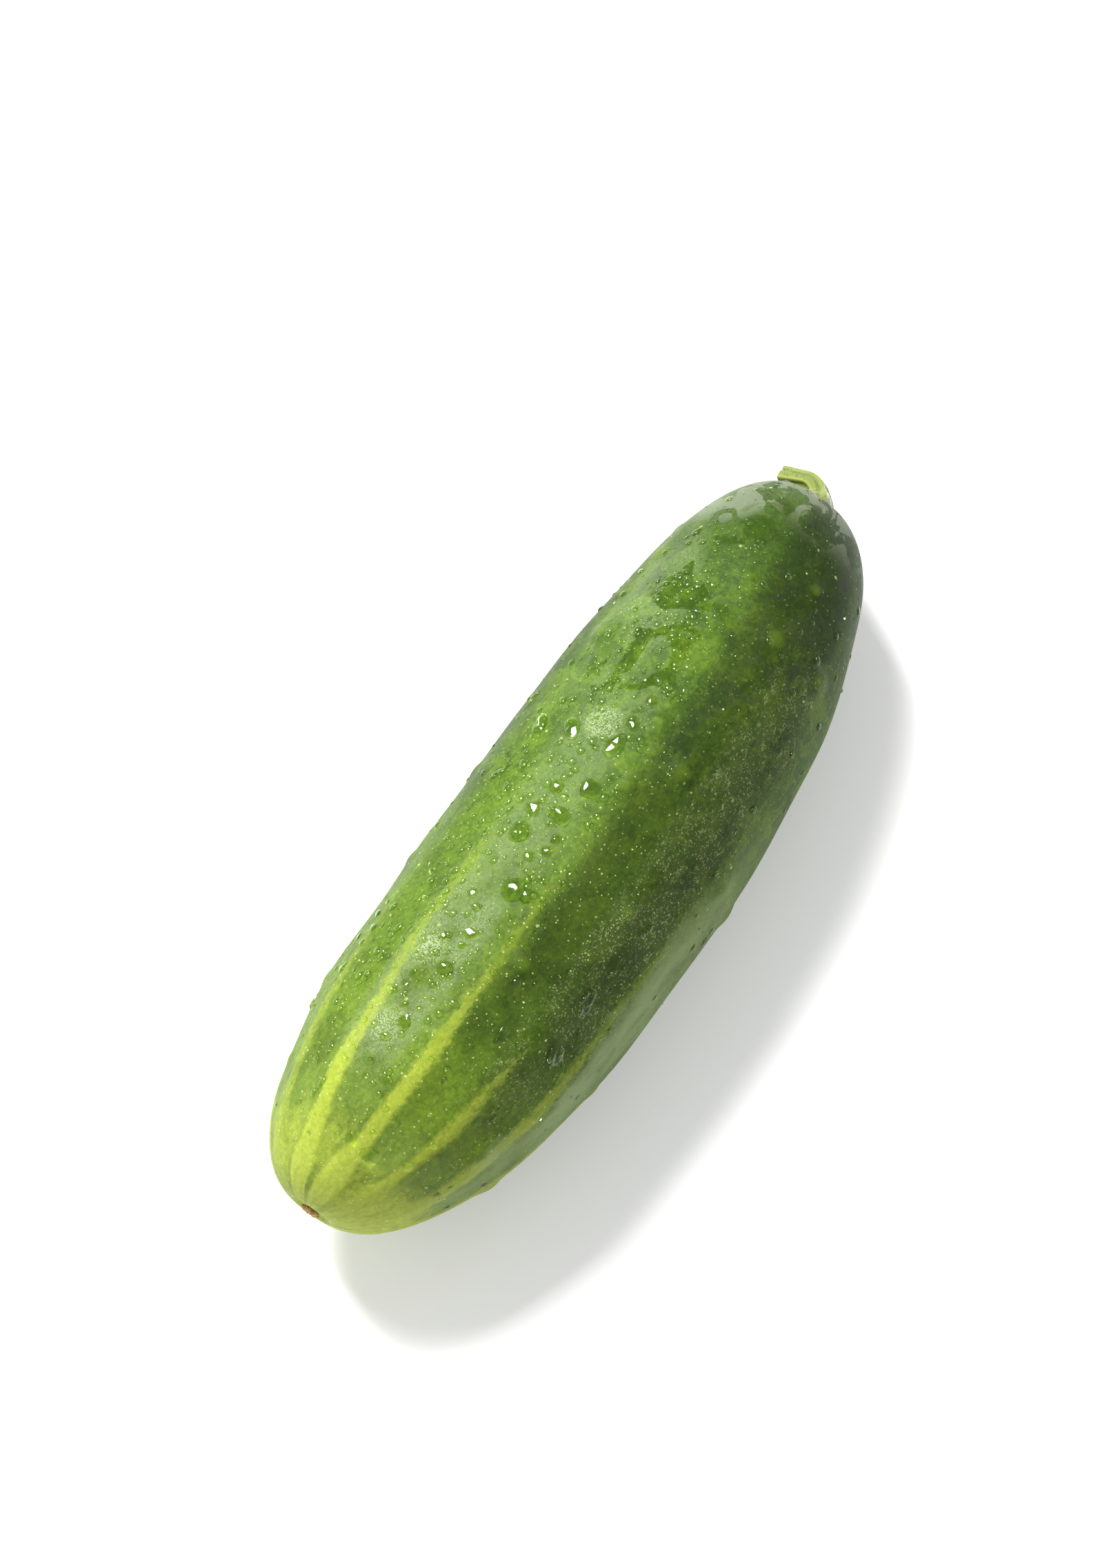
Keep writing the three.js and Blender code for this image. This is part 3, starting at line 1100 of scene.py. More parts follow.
        finish.set(Side.ROUGHNESS, self.dry_roughness - 0.1 * fog + 0.1 * granules + 0.28 * soaked)
        dull = larger(self.glare.at(point), smooth(0.8, 0.92, point.along) * 0.6)
        finish.set(Side.COAT, film * (1.0 - point.wet) * (1.0 - dull) * 0.9)
        pits = point.noise(0.5 * MM) * self.pit_height
        swell = point.noise(2.6 * MM) * self.swell_height
        dew = (1.0 - smooth(0.1, 0.5, dew_grain)) * fog * self.dew_height
        finish.raise_by(pits + swell + dew + (wisps + crust * dust) * self.crust_height)
        return finish.material

    def puddles(self, point: SkinPoint, effects: Effects) -> Field:
        """Patches of a thin water film on the upper side, more of them towards the stalk."""
        place = point.graph.moved(point.place, "ADD", self.film_shift)
        cover = 0.2 + 0.26 * smooth(0.45, 0.7, point.along)
        film = effects.film.on(point.graph, place, Size=self.puddle_size, Cover=cover, Edge=0.016)
        return film * smooth(0.45, 0.8, sine(point.angle))

    def fog(self, point: SkinPoint) -> Field:
        """Where fine dew lies, painted paler as the lamp's sheen on it: along the crown, and beside it near
        the stalk.
        """
        drift = point.noise(self.dew_patch_size, longer=1.5, detail=3.0)
        thinner = 1.0 - 0.6 * smooth(0.3, 0.5, point.along)
        crown = self.crown.at(point) * self.crown_run.at(point) * thinner * smooth(0.28, 0.52, drift)
        lean = 0.6 * smooth(0.76, 0.95, point.along)
        side = self.stalk_veil.at(point, lean) * smooth(0.56, 0.7, point.along)
        return larger(crown, side * smooth(0.3, 0.5, drift) * 0.5)

    def frosting(self, point: SkinPoint) -> Field:
        """A few small spots of painted glare, where the dew lies thick and looks white."""
        frost: Number = 0.0
        ragged = (point.noise(3 * MM, detail=4.0, ragged=0.7) - 0.5) * 0.9
        for share, degrees in self.frosted:
            ahead = (point.along - share) / self.frost_reach[0]
            beside = (point.angle - math.radians(degrees)) / self.frost_reach[1]
            frost = larger(1.0 - smooth(0.05, 0.9, ahead * ahead + beside * beside + ragged), frost)
        return frost * self.frost_cover

    def underglow(self, point: SkinPoint) -> Field:
        """Painted reflection of the white table, low on the side that the lamp reaches least, in patches that
        thin out to the stalk.
        """
        patches = point.noise(self.low_patch_size, longer=1.6, detail=5.0, ragged=0.6)
        edge = (patches - 0.5) * 0.6
        fading = 1.0 - 0.75 * smooth(0.0, 0.35, point.angle - math.radians(self.low_side.degrees))
        uneven = 0.45 + 0.55 * smooth(0.35, 0.6, patches)
        return self.low_side.at(point, edge) * self.low_run.at(point, edge * 0.5) * fading * uneven

    def glazing(self, point: SkinPoint, effects: Effects) -> Field:
        """Painted grey reflection in wet patches round the stalk, which reach further along one side."""
        sheen = effects.film.on(point.graph, point.place, Size=self.glaze_size, Cover=0.5, Edge=0.02)
        near_stalk = point.along + 0.05 * self.glazed.at(point)
        return smooth(0.92, 0.97, near_stalk) * (0.08 + 0.6 * sheen)

    def dust(self, point: SkinPoint) -> Field:
        """Patches of dull, dusty skin on the side that turns away from the lamp."""
        patch = smooth(0.36, 0.58, point.noise(self.dust_size, longer=1.6, detail=6.0, ragged=0.7))
        return self.dusty.at(point) * self.dusty_run.at(point) * patch

    def wisps(self, point: SkinPoint) -> Field:
        """Short wandering hair-thin lines."""
        winding = point.noise(1.2 * MM, longer=1.5, detail=3.0, distortion=0.8)
        line = 1.0 - smooth(0.006, 0.035, (winding - 0.5).math("ABSOLUTE"))
        return line * smooth(0.48, 0.6, point.noise(1.2 * MM, detail=1.0))


@dataclass
class Skin:
    """The body of the fruit, fine enough to carry its ribs, lumps, warts and dimples."""

    form: FruitForm = FruitForm()
    warts: WartRule = WartRule()
    finish: SkinFinish = SkinFinish()
    around: int = 300
    along: int = 318
    outline_points: int = 1600
    seam_gap: float = 0.004 * MM
    bead_soak: float = 0.5

    def wired(self, recipe: Recipe) -> FruitForm:
        """The form with its sizes as named inputs of the recipe."""
        sizes = {}
        for entry in fields(self.form):
            value = getattr(self.form, entry.name)
            if entry.type is Number:
                sizes[entry.name] = recipe.given(entry.name.replace("_", " ").title(), value)
        return replace(self.form, **sizes)

    def outline(self, recipe: Recipe, form: FruitForm) -> Field:
        """The fruit's outline as a curve, each point of which keeps its share of the length."""
        graph = recipe.graph
        line = graph.out("GeometryNodeMeshLine", "Mesh", {"Count": self.outline_points})
        index = graph.out("GeometryNodeInputIndex", "Index")
        share = 0.5 - 0.5 * cosine(index * (math.pi / (self.outline_points - 1)))
        line = recipe.stored(line, "share", share)
        kept = recipe.attribute("share")
        line = recipe.placed(line, graph.vector(kept * form.length, form.radius_at(kept), 0.0))
        return graph.out("GeometryNodeMeshToCurve", "Curve", {"Mesh": line})

    def shaped(self) -> bpy.types.Object:
        """Shape the skin by its rule on a grid that closes on itself.

        Returns:
            The skin, not yet dressed.
        """
        warts = self.warts.places(self.form)
        flats = [flat_point(self.form, share, angle) for share, angle, _ in warts]
        marks = marker("wart_places", flats, {"size": [size for _, _, size in warts]})

        recipe = Recipe("Fruit Body")
        graph = recipe.graph
        form = self.wired(recipe)
        around = recipe.given("Steps Around", self.around)
        along = recipe.given("Steps Along", self.along)
        grid_sizes = {"Size X": 1.0, "Size Y": 1.0, "Vertices X": around + 1.0, "Vertices Y": along + 1.0}
        grid = graph.node("GeometryNodeMeshGrid", grid_sizes)
        skin = recipe.stored(Field(graph, grid.outputs["Mesh"]), "skin", Field(graph, grid.outputs["UV Map"]),
                             kind="FLOAT2", domain="CORNER")
        x, y, _ = graph.split(recipe.position())
        curve = self.outline(recipe, form)
        sampled = {"Curves": curve, "Value": recipe.attribute("share"), "Factor": y + 0.5}
        share = graph.out("GeometryNodeSampleCurve", "Value", sampled, data_type="FLOAT", mode="FACTOR",
                          use_all_curves=True)
        skin = recipe.stored(skin, "along", share)
        skin = recipe.stored(skin, "turn", (x + 0.5) * math.tau)

        share = recipe.attribute("along")
        angle = recipe.attribute("turn")
        plain = form.radius_at(share)
        flat = graph.vector(share * form.length, plain * cosine(angle), plain * sine(angle))
        wart_points = recipe.points_of("Wart Places", marks)
        nearest = graph.out("GeometryNodeSampleNearest", "Index",
                            {"Geometry": wart_points, "Sample Position": flat}, domain="POINT")
        centre = recipe.sampled(wart_points, recipe.position(), nearest, "FLOAT_VECTOR")
        size = recipe.sampled(wart_points, recipe.attribute("size"), nearest)
        reach = clamp01(graph.distance(centre, flat) / (form.wart_radius * size))
        bump = (1.0 - reach * reach) * (1.0 - reach * reach)
        skin = recipe.stored(skin, "wart", bump)

        wart_height = form.wart_height * size * recipe.attribute("wart")
        radius = plain + form.relief_at(share, angle) + wart_height
        at = graph.vector(
            (share - 0.5) * form.length + form.end_at(share, plain) - BOX_MIDDLE.x,
            radius * cosine(angle) + form.bow_at(share) - BOX_MIDDLE.y,
            larger(radius * sine(angle) + form.radius - form.sink, 0.0),
        )
        skin = recipe.merged(recipe.placed(skin, at), self.seam_gap)
        piece = recipe.run("dry_skin", skin, None)
        bpy.data.objects.remove(marks)
        return piece

    def wetted(self, dry: bpy.types.Object, places: list[bpy.types.Object],
               effects: Effects) -> bpy.types.Object:
        """Note on the skin where drops cover it, and dress it.

        Args:
            dry: The shaped skin.
            places: The points of the drops, which carry their widths.
            effects: The shared node groups.

        Returns:
            The skin, standing for the plain solid.
        """
        recipe = Recipe("Wet Skin")
        graph = recipe.graph
        wet: Number = 0.0
        for marks, soak in zip(places, (1.0, self.bead_soak)):
            drops = recipe.points_of(marks.name, marks)
            nearest = graph.out("GeometryNodeSampleNearest", "Index", {"Geometry": drops}, domain="POINT")
            centre = recipe.sampled(drops, recipe.position(), nearest, "FLOAT_VECTOR")
            width = recipe.sampled(drops, recipe.attribute("wide"), nearest)
            gap = graph.distance(centre, recipe.position())
            wet = larger((1.0 - smooth(0.42, 0.58, gap / width)) * soak, wet)
        skin = recipe.stored(recipe.host, "wet", wet)
        piece = recipe.run("cucumber_skin", skin, self.finish.build(effects), host=dry.data)
        bpy.data.objects.remove(dry)
        return keep(piece, "skin", "fruit")


def keep(piece: bpy.types.Object, slot: str = "", *nodes: str) -> bpy.types.Object:
    """Hand a finished piece to the frame.

    Args:
        piece: The piece.
        slot: Not used.
        nodes: The plain solids that it stands for.

    Returns:
        The same piece.
    """
    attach(piece, BODY)
    if nodes:
        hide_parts(*nodes)
    triangles = sum(len(face.vertices) - 2 for face in piece.data.polygons)
    LOG.info("%s: %d triangles", piece.name, triangles)
    return piece


@dataclass(frozen=True)
class StalkFinish:
    """Ribbed pale green stem, darker in its grooves, with a paler cut face."""

    groove: tuple = paint(84, 98, 28)
    ridge: tuple = paint(122, 132, 50)
    cut: tuple = paint(140, 146, 84)
    dot: tuple = paint(150, 158, 104)
    pith_size: float = 0.55 * MM
    pith_height: float = 0.08 * MM
    skin_height: float = 0.12 * MM

    def build(self, effects: Effects) -> bpy.types.Material:
        """Make the material from the shared groups."""
        finish = Finish("cucumber_stalk", IOR=1.42, Coat_Roughness=0.08, Coat_IOR=1.33)
        graph = finish.graph
        place = graph.place()
        ridge = graph.carried("ridge")
        cut = graph.carried("cut")
        mottle = effects.mottle.on(graph, place, Size=1.6 * MM, Stretch=1.0)
        colour = graph.blend(clamp01(ridge * 0.8 + (mottle - 0.5) * 0.9), self.groove, self.ridge)
        dots = effects.speckle.on(graph, place, Spacing=0.7 * MM, Radius=0.1 * MM, Share=0.5)
        colour = graph.blend(dots * 0.6, colour, self.dot)
        pith = graph.cells(place, self.pith_size, feature="DISTANCE_TO_EDGE")
        face = graph.blend(smooth(0.02, 0.2, pith), self.groove, self.cut)
        colour = graph.blend(cut, colour, face)
        finish.set(Side.COLOUR, colour)
        finish.set(Side.ROUGHNESS, 0.38 + 0.2 * mottle)
        finish.set(Side.COAT, effects.film.on(graph, place, Size=3 * MM, Cover=0.5, Edge=0.03) * 0.7)
        finish.raise_by(mottle * self.skin_height + smooth(0.0, 0.3, pith) * cut * self.pith_height)
        return finish.material


@dataclass(frozen=True)
class StalkForm:
    """The rule of the cut stub: a ribbed stem with a broad foot, bent over to one side."""

    length: Number = 12.5 * MM
    neck: Number = 2.0 * MM
    foot: Number = 3.7 * MM
    cut: Number = 2.3 * MM
    rib_height: Number = 0.22 * MM
    bend_radius: Number = 4.3 * MM
    bend_turn: float = 1.8
    lean: float = -0.5
    ribs: int = 5
    gap: float = 0.3 * MM
    crown: float = 0.35 * MM
    dent: float = 0.35 * MM
    foot_end: float = 0.12
    side_span: float = 0.72
    cut_start: float = 0.84
    cut_span: float = 0.16


@dataclass
class Stalk:
    """The cut stub of the stem, with short hairs."""

    fruit: FruitForm
    form: StalkForm = StalkForm()
    finish: StalkFinish = StalkFinish()
    around: int = 90
    along: int = 120
    hair_count: int = 90
    hair_length: float = 0.75 * MM
    seam_gap: float = 0.002 * MM

    def build(self, effects: Effects) -> list[bpy.types.Object]:
        """Turn, rib and bend the stem, then set hairs on it.

        Args:
            effects: The shared node groups.

        Returns:
            The stem and its hairs.
        """
        material = self.finish.build(effects)
        recipe = Recipe("Cut Stalk")
        graph = recipe.graph
        length = recipe.given("Length", self.form.length)
        neck = recipe.given("Neck Radius", self.form.neck)
        foot = recipe.given("Foot Radius", self.form.foot)
        cut = recipe.given("Cut Radius", self.form.cut)
        rib_height = recipe.given("Rib Height", self.form.rib_height)
        bend_radius = recipe.given("Bend Radius", self.form.bend_radius)

        grid, angle, run = recipe.tube(self.around, self.along)
        side = clamp01((run - self.form.foot_end) / self.form.side_span)
        under = smooth(0.0, self.form.foot_end, run)
        closing = clamp01((run - self.form.cut_start) / self.form.cut_span)
        flare = (foot - neck) * (1.0 - smooth(0.0, 0.3, side))
        swell = (cut - neck) * smooth(0.55, 1.0, side)
        wall = neck + flare + swell
        rounded = (1.0 - closing ** 4.0) ** 0.5
        ridge = cosine(self.form.ribs * angle) + 0.45 * cosine(2.0 * self.form.ribs * angle + 1.0)
        radius = (wall + rib_height * ridge) * under * rounded
        height = side * length + self.form.crown * smooth(0.0, 0.7, closing)
        climb = height - self.form.dent * smooth(0.55, 1.0, closing)

        turn = smaller(climb / bend_radius, self.form.bend_turn)
        straight = climb - turn * bend_radius
        reach = bend_radius - radius * cosine(angle)
        out = reach * sine(turn) + straight * cosine(turn)
        over = bend_radius - reach * cosine(turn) + straight * sine(turn)
        beside = radius * sine(angle)
        lean_cos, lean_sin = math.cos(self.form.lean), math.sin(self.form.lean)
        root = self.root()
        at = graph.vector(out + root.x, over * lean_cos - beside * lean_sin + root.y,
                          over * lean_sin + beside * lean_cos + root.z)
        grid = recipe.stored(grid, "ridge", clamp01(0.5 + 0.4 * ridge))
        grid = recipe.stored(grid, "cut", smooth(0.35, 0.6, closing))
        stem = recipe.merged(recipe.placed(grid, at), self.seam_gap)
        piece = keep(recipe.run("cut_stalk", stem, material), "stalk", "stalk")
        return [piece, self.hairs(piece, material)]

    def root(self) -> Vector:
        """Where the stem starts, at the bottom of the dimple."""
        end = self.fruit.heart(1.0)
        return end + Vector((self.form.gap - self.fruit.stalk_dimple.depth, 0.0, 0.0))

    def hairs(self, stem: bpy.types.Object, material: bpy.types.Material) -> bpy.types.Object:
        """Short stiff hairs scattered over the stem's side."""
        recipe = Recipe("Stem Hairs")
        graph = recipe.graph
        length = recipe.given("Hair Length", self.hair_length)
        side_only = below(recipe.attribute("cut"), 0.1)
        area = sum(face.area for face in stem.data.polygons)
        density = self.hair_count / area
        scatter = {"Mesh": recipe.host, "Selection": side_only, "Density": density, "Seed": 5}
        points = graph.node("GeometryNodeDistributePointsOnFaces", scatter, distribute_method="RANDOM")
        cone = graph.out("GeometryNodeMeshCone", "Mesh",
                         {"Vertices": 5, "Radius Top": 0.01, "Radius Bottom": 0.09, "Depth": 1.0})
        scale = length * recipe.chance(0.5, 1.0, seed=11)
        size = graph.vector(scale, scale, scale)
        roots, outward = (Field(graph, points.outputs[name]) for name in ("Points", "Normal"))
        hairs = recipe.instances(roots, cone, outward, size, recipe.chance(0.0, 6.0, seed=12))
        return keep(recipe.run("stalk_hairs", hairs, material, host=stem.data.copy()), "stalk")


@dataclass(frozen=True)
class ScarFinish:
    """Dry brown tissue, mottled with pale tan."""

    brown: tuple = paint(152, 114, 62)
    tan: tuple = paint(206, 172, 106)
    fibre_size: float = 0.25 * MM
    fibre_height: float = 0.12 * MM
    mottle_height: float = 0.1 * MM

    def build(self, effects: Effects) -> bpy.types.Material:
        """Make the material from the shared groups."""
        finish = Finish("dry_blossom", Roughness=0.8, IOR=1.4)
        graph = finish.graph
        place = graph.place()
        mottle = effects.mottle.on(graph, place, Size=0.8 * MM, Stretch=1.0)
        fibres = graph.noise(place, self.fibre_size, detail=3.0)
        finish.set(Side.COLOUR, graph.blend(smooth(0.35, 0.65, mottle), self.brown, self.tan))
        finish.set(Side.ROUGHNESS, 0.7 + 0.25 * fibres)
        finish.raise_by(fibres * self.fibre_height + mottle * self.mottle_height)
        return finish.material


@dataclass
class BlossomScar:
    """The dry button that the flower leaves, with a ragged, curled rim."""

    fruit: FruitForm
    finish: ScarFinish = ScarFinish()
    radius: float = 1.7 * MM
    height: float = 1.3 * MM
    lobes: int = 5
    lobe_depth: float = 0.2
    gap: float = 0.3 * MM
    around: int = 70
    along: int = 40
    front_span: float = 0.7
    back_span: float = 0.3
    seam_gap: float = 0.002 * MM

    def build(self, effects: Effects) -> bpy.types.Object:
        """Turn the button on a grid that closes on itself.

        Args:
            effects: The shared node groups.

        Returns:
            The button, standing for the plain solid.
        """
        recipe = Recipe("Blossom Scar")
        graph = recipe.graph
        radius = recipe.given("Radius", self.radius)
        height = recipe.given("Height", self.height)
        grid, angle, run = recipe.tube(self.around, self.along)
        front = clamp01(run / self.front_span)
        back = clamp01((run - self.front_span) / self.back_span)
        bulge = sine(front * (math.pi / 2)) * (1.0 - 0.25 * back) * (1.0 - smooth(0.5, 1.0, back))
        ragged = 1.0 + self.lobe_depth * cosine(self.lobes * angle)
        frayed = 1.0 + 0.06 * sine(17.0 * angle + 9.0 * run)
        spread = radius * bulge * ragged * frayed
        hollow = 0.22 * (1.0 - smooth(0.0, 0.45, front))
        crinkle = 0.07 * sine(11.0 * angle + 2.0) * sine(front * math.pi)
        depth = 1.0 - 0.65 * front ** 2.0 - hollow + crinkle - 0.35 * back
        root = self.fruit.heart(0.0) + Vector((self.fruit.blossom_dimple.depth - self.gap, 0.0, 0.0))
        at = graph.vector(root.x - height * larger(depth, 0.0), spread * cosine(angle) + root.y,
                          spread * sine(angle) + root.z)
        button = recipe.merged(recipe.placed(grid, at), self.seam_gap)
        return keep(recipe.run("blossom_scar", button, self.finish.build(effects)), "remnant",
                    "blossom_remnant")


@dataclass(frozen=True)
class WaterFinish:
    """Clear water that lets lamps through, so that it throws no dark shadow on the skin.

    A drop gathers the lamp's light on its far side, which is painted as a tint: painted shade on the side
    that faces the lamp, painted light on the other, and painted shade along the steep rim. Drops that face
    away from the lamp get mostly one even tint instead."""

    deep: tuple = (0.62, 0.73, 0.3, 1.0)
    clear: tuple = (1.0, 1.0, 0.6, 1.0)
    rim: tuple = (0.28, 0.39, 0.13, 1.0)
    unlit: tuple = (0.85, 0.95, 0.6, 1.0)

    def build(self) -> bpy.types.Material:
        """Make the material."""
        finish = Finish("clear_water", Roughness=0.0, IOR=1.36, Transmission_Weight=1.0)
        graph = finish.graph
        normal = graph.out("ShaderNodeNewGeometry", "Normal")
        facing = graph.out("ShaderNodeAttribute", "Vector", attribute_name="facing")
        lamp = tuple(Vector(LAMP_WAY).normalized())
        away = graph.dot(graph.moved(facing, "SUBTRACT", normal), lamp)
        tint = graph.blend(smooth(-0.1, 0.35, away), self.deep, self.clear)
        # Painted shade along the drop's steep rim.
        tint = graph.blend(smooth(0.9, 0.7, graph.dot(facing, normal)) * 0.85, tint, self.rim)
        # Drops that face away from the lamp get mostly one even tint instead of the painted light and shade.
        turned_off = smooth(0.6, 0.1, graph.dot(facing, lamp))
        finish.set(Side.COLOUR, graph.blend(turned_off * 0.8, tint, self.unlit))
        clear = graph.node("ShaderNodeBsdfTransparent")
        lamp_ray = graph.out("ShaderNodeLightPath", "Is Shadow Ray")
        shaders = {0: lamp_ray, 1: finish.shader.outputs[0], 2: clear.outputs[0]}
        mixed = graph.node("ShaderNodeMixShader", shaders)
        graph.feed(finish.output.inputs["Surface"], mixed.outputs[0])
        return finish.material


@dataclass(frozen=True)
class Bead:
    """One large drop: its place along and round the fruit, its width and length, and how it is turned."""

    share: float
    degrees: float
    width: float
    length: float
    turn: float = 0.0


@dataclass
class Water:
    """Drops on the skin: a few large ones, scattered beads, and fine dew that gathers in clusters."""

    fruit: FruitForm
    skin: bpy.types.Object
    bead_count: int = 2000
    dew_count: int = 9000
    bead_sizes: tuple[float, float] = (0.6 * MM, 1.8 * MM)
    dew_sizes: tuple[float, float] = (0.18 * MM, 0.62 * MM)
    bead_gap: float = 0.7 * MM
    bead_tries: int = 9
    dew_tries: float = 4.0
    bead_cluster: float = 13 * MM
    dew_cluster: float = 9 * MM
    crown_angle: float = math.radians(70)
    huddles: tuple[tuple[float, float, float], ...] = (
        (0.79, 55.0, 5 * MM),
        (0.756, 84.0, 4 * MM),
        (0.295, 66.0, 3 * MM),
        (0.61, 70.0, 3 * MM),
    )
    beads: tuple[Bead, ...] = (
        Bead(0.455, 68.3, 4.0, 4.3, 0.4),
        Bead(0.396, 81.0, 4.6, 5.0, 1.0),
        Bead(0.398, 87.0, 3.2, 4.0, 1.5),
        Bead(0.283, 77.5, 3.1, 3.2),
        Bead(0.537, 82.4, 3.8, 4.6, 1.4),
        Bead(0.494, 78.4, 3.2, 4.8, 1.4),
        Bead(0.485, 66.7, 2.4, 3.4, 0.9),
        Bead(0.519, 70.0, 2.6, 3.0, 0.3),
        Bead(0.437, 77.5, 2.0, 2.2),
        Bead(0.453, 82.4, 2.0, 2.4, 1.2),
        Bead(0.469, 82.4, 1.8, 2.0),
        Bead(0.331, 77.5, 2.0, 3.4, 1.6),
        Bead(0.314, 77.5, 1.5, 1.7),
        Bead(0.314, 68.9, 1.5, 1.8),
        Bead(0.370, 67.5, 1.6, 1.9),
        Bead(0.246, 67.5, 1.6, 2.1, 0.2),
        Bead(0.261, 68.3, 1.5, 1.6),
        Bead(0.235, 64.8, 1.3, 1.5),
        Bead(0.210, 77.0, 2.6, 3.4, 0.5),
        Bead(0.227, 72.9, 1.3, 1.4),
        Bead(0.147, 87.0, 1.9, 2.3),
        Bead(0.075, 104.0, 3.2, 4.2, 1.7),
        Bead(0.078, 88.4, 2.0, 2.5, 1.4),
        Bead(0.280, 137.0, 3.8, 4.2, 0.6),
        Bead(0.348, 133.5, 3.2, 5.4, 0.2),
        Bead(0.258, 114.0, 2.2, 4.2),
        Bead(0.587, 60.0, 3.4, 5.2, 0.8),
        Bead(0.578, 44.0, 3.0, 4.8, 0.3),
        Bead(0.594, 80.3, 3.6, 5.6, 0.1),
        Bead(0.625, 81.0, 2.4, 3.2, 0.9),
        Bead(0.660, 82.0, 2.0, 2.6, 0.3),
    )

    def places(self) -> list[bpy.types.Object]:
        """Where the large drops and the scattered beads lie.

        Returns:
            Two sets of points that carry each drop's facing, width, length and turn.
        """
        return [self.chosen_places(), self.scattered_places()]

    def chosen_places(self) -> bpy.types.Object:
        """The large drops' points, dropped onto the skin from outside."""
        tree = BVHTree.FromPolygons([vertex.co for vertex in self.skin.data.vertices],
                                    [face.vertices for face in self.skin.data.polygons])
        spots, normals = [], []
        for bead in self.beads:
            way = self.fruit.outward(math.radians(bead.degrees))
            spot, normal, _, _ = tree.ray_cast(self.fruit.heart(bead.share) + way * 0.1, -way)
            spots.append(spot)
            normals.append(normal)
        numbers = {
            "wide": [bead.width * MM for bead in self.beads],
            "long": [bead.length * MM for bead in self.beads],
            "spin": [bead.turn for bead in self.beads],
        }
        return marker("large_drop_places", spots, numbers, normals)

    def scattered_places(self) -> bpy.types.Object:
        """Points for beads of about a millimetre, kept clear of each other."""
        recipe = Recipe("Bead Places")
        graph = recipe.graph
        small = recipe.given("Smallest", self.bead_sizes[0])
        big = recipe.given("Largest", self.bead_sizes[1])
        area = sum(face.area for face in self.skin.data.polygons)
        scatter = {"Mesh": recipe.host, "Distance Min": self.bead_gap,
                   "Density Max": self.bead_tries * self.bead_count / area,
                   "Density Factor": self.wetness(recipe, self.bead_cluster) * 0.8, "Seed": 21}
        node = graph.node("GeometryNodeDistributePointsOnFaces", scatter, distribute_method="POISSON")
        points, normal = (Field(graph, node.outputs[name]) for name in ("Points", "Normal"))
        points = recipe.stored(points, "facing", normal, kind="FLOAT_VECTOR")
        wide = small + (big - small) * recipe.chance(0.0, 1.0, seed=31) ** 2.5
        points = recipe.stored(points, "wide", wide)
        points = recipe.stored(points, "long", recipe.attribute("wide") * recipe.chance(0.9, 1.4, seed=32))
        points = recipe.stored(points, "spin", recipe.chance(0.0, 6.3, seed=33))
        vertices = graph.out("GeometryNodePointsToVertices", "Mesh", {"Points": points})
        return recipe.run("bead_places", vertices, None, host=self.skin.data.copy())

    def build(self, places: list[bpy.types.Object]) -> list[bpy.types.Object]:
        """Make the three kinds of drops.

        Args:
            places: The points of the large drops and of the scattered beads.

        Returns:
            The pieces of water.
        """
        material = WaterFinish().build()
        large, scattered = places
        pieces = [
            self.drops("water_drops_large", large, (44, 28), 0.36, (2.6 * MM, 1.8 * MM), material),
            self.drops("water_drops_scattered", scattered, (12, 6), 0.52, (1.4 * MM, 0.4 * MM), material),
            self.dew(material),
        ]
        for marks in places:
            bpy.data.objects.remove(marks)
        return pieces

    @staticmethod
    def drops(name: str, places: bpy.types.Object, grain: tuple[int, int], flatness: float,
              wander: tuple[float, float], material: bpy.types.Material) -> bpy.types.Object:
        """Drops with wandering edges at a set of points.

        Args:
            name: Name of the piece.
            places: The points.
            grain: Sides and rings of one drop.
            flatness: Height of a drop as a share of half its width.
            wander: Size of the waves in a drop's edge, and how far they shift it.
            material: Water.

        Returns:
            The piece.
        """
        recipe = Recipe(name.replace("_", " ").title())
        graph = recipe.graph
        waves = recipe.given("Wave Size", wander[0])
        shift = recipe.given("Wave Shift", wander[1])
        height = recipe.given("Flatness", flatness)
        wide, long = recipe.attribute("wide"), recipe.attribute("long")
        size = graph.vector(long, wide, wide * height)
        facing = recipe.attribute("facing", kind="FLOAT_VECTOR")
        drops = recipe.instances(recipe.host, recipe.dome(*grain, sink=0.35), facing, size,
                                 recipe.attribute("spin"))
        inputs = {"Vector": recipe.position(), "Scale": 1.0 / waves, "Detail": 1.0}
        noise = graph.node("ShaderNodeTexNoise", inputs)
        centred = graph.moved(noise.outputs["Color"], "SUBTRACT", (0.5, 0.5, 0.5))
        drops = recipe.shifted(drops, graph.moved(centred, "MULTIPLY", graph.vector(shift, shift, 0.0)))
        return keep(recipe.run(name, drops, material, host=places.data.copy()))

    def wetness(self, recipe: Recipe, cluster_size: float) -> Field:
        """How likely a drop is: most along the crown, in clusters, and none underneath."""
        graph = recipe.graph
        _, side, up = graph.split(recipe.normal())
        towards = side * math.cos(self.crown_angle) + up * math.sin(self.crown_angle)
        along = recipe.attribute("along")
        clusters = graph.noise(recipe.position(), cluster_size, detail=2.0)
        grouped = smooth(0.4, 0.62, clusters)
        middle = smooth(0.1, 0.25, along) * (1.0 - smooth(0.7, 0.95, along))
        crown = smooth(0.84, 0.99, towards) * (0.25 + 0.75 * middle)
        chance = smooth(-0.2, 0.6, up) * (0.04 + 0.96 * crown * (0.3 + 0.7 * grouped) + 0.06 * grouped)
        for share, degrees, reach in self.huddles:
            way = self.fruit.outward(math.radians(degrees))
            centre = self.fruit.heart(share) + way * self.fruit.radius_at(share)
            gap = graph.distance(recipe.position(), tuple(centre))
            chance = larger(chance, 1.0 - smooth(0.5, 1.0, gap / reach))
        return chance * smooth(0.04, 0.1, along + smooth(0.7, 0.95, towards) * 0.05)

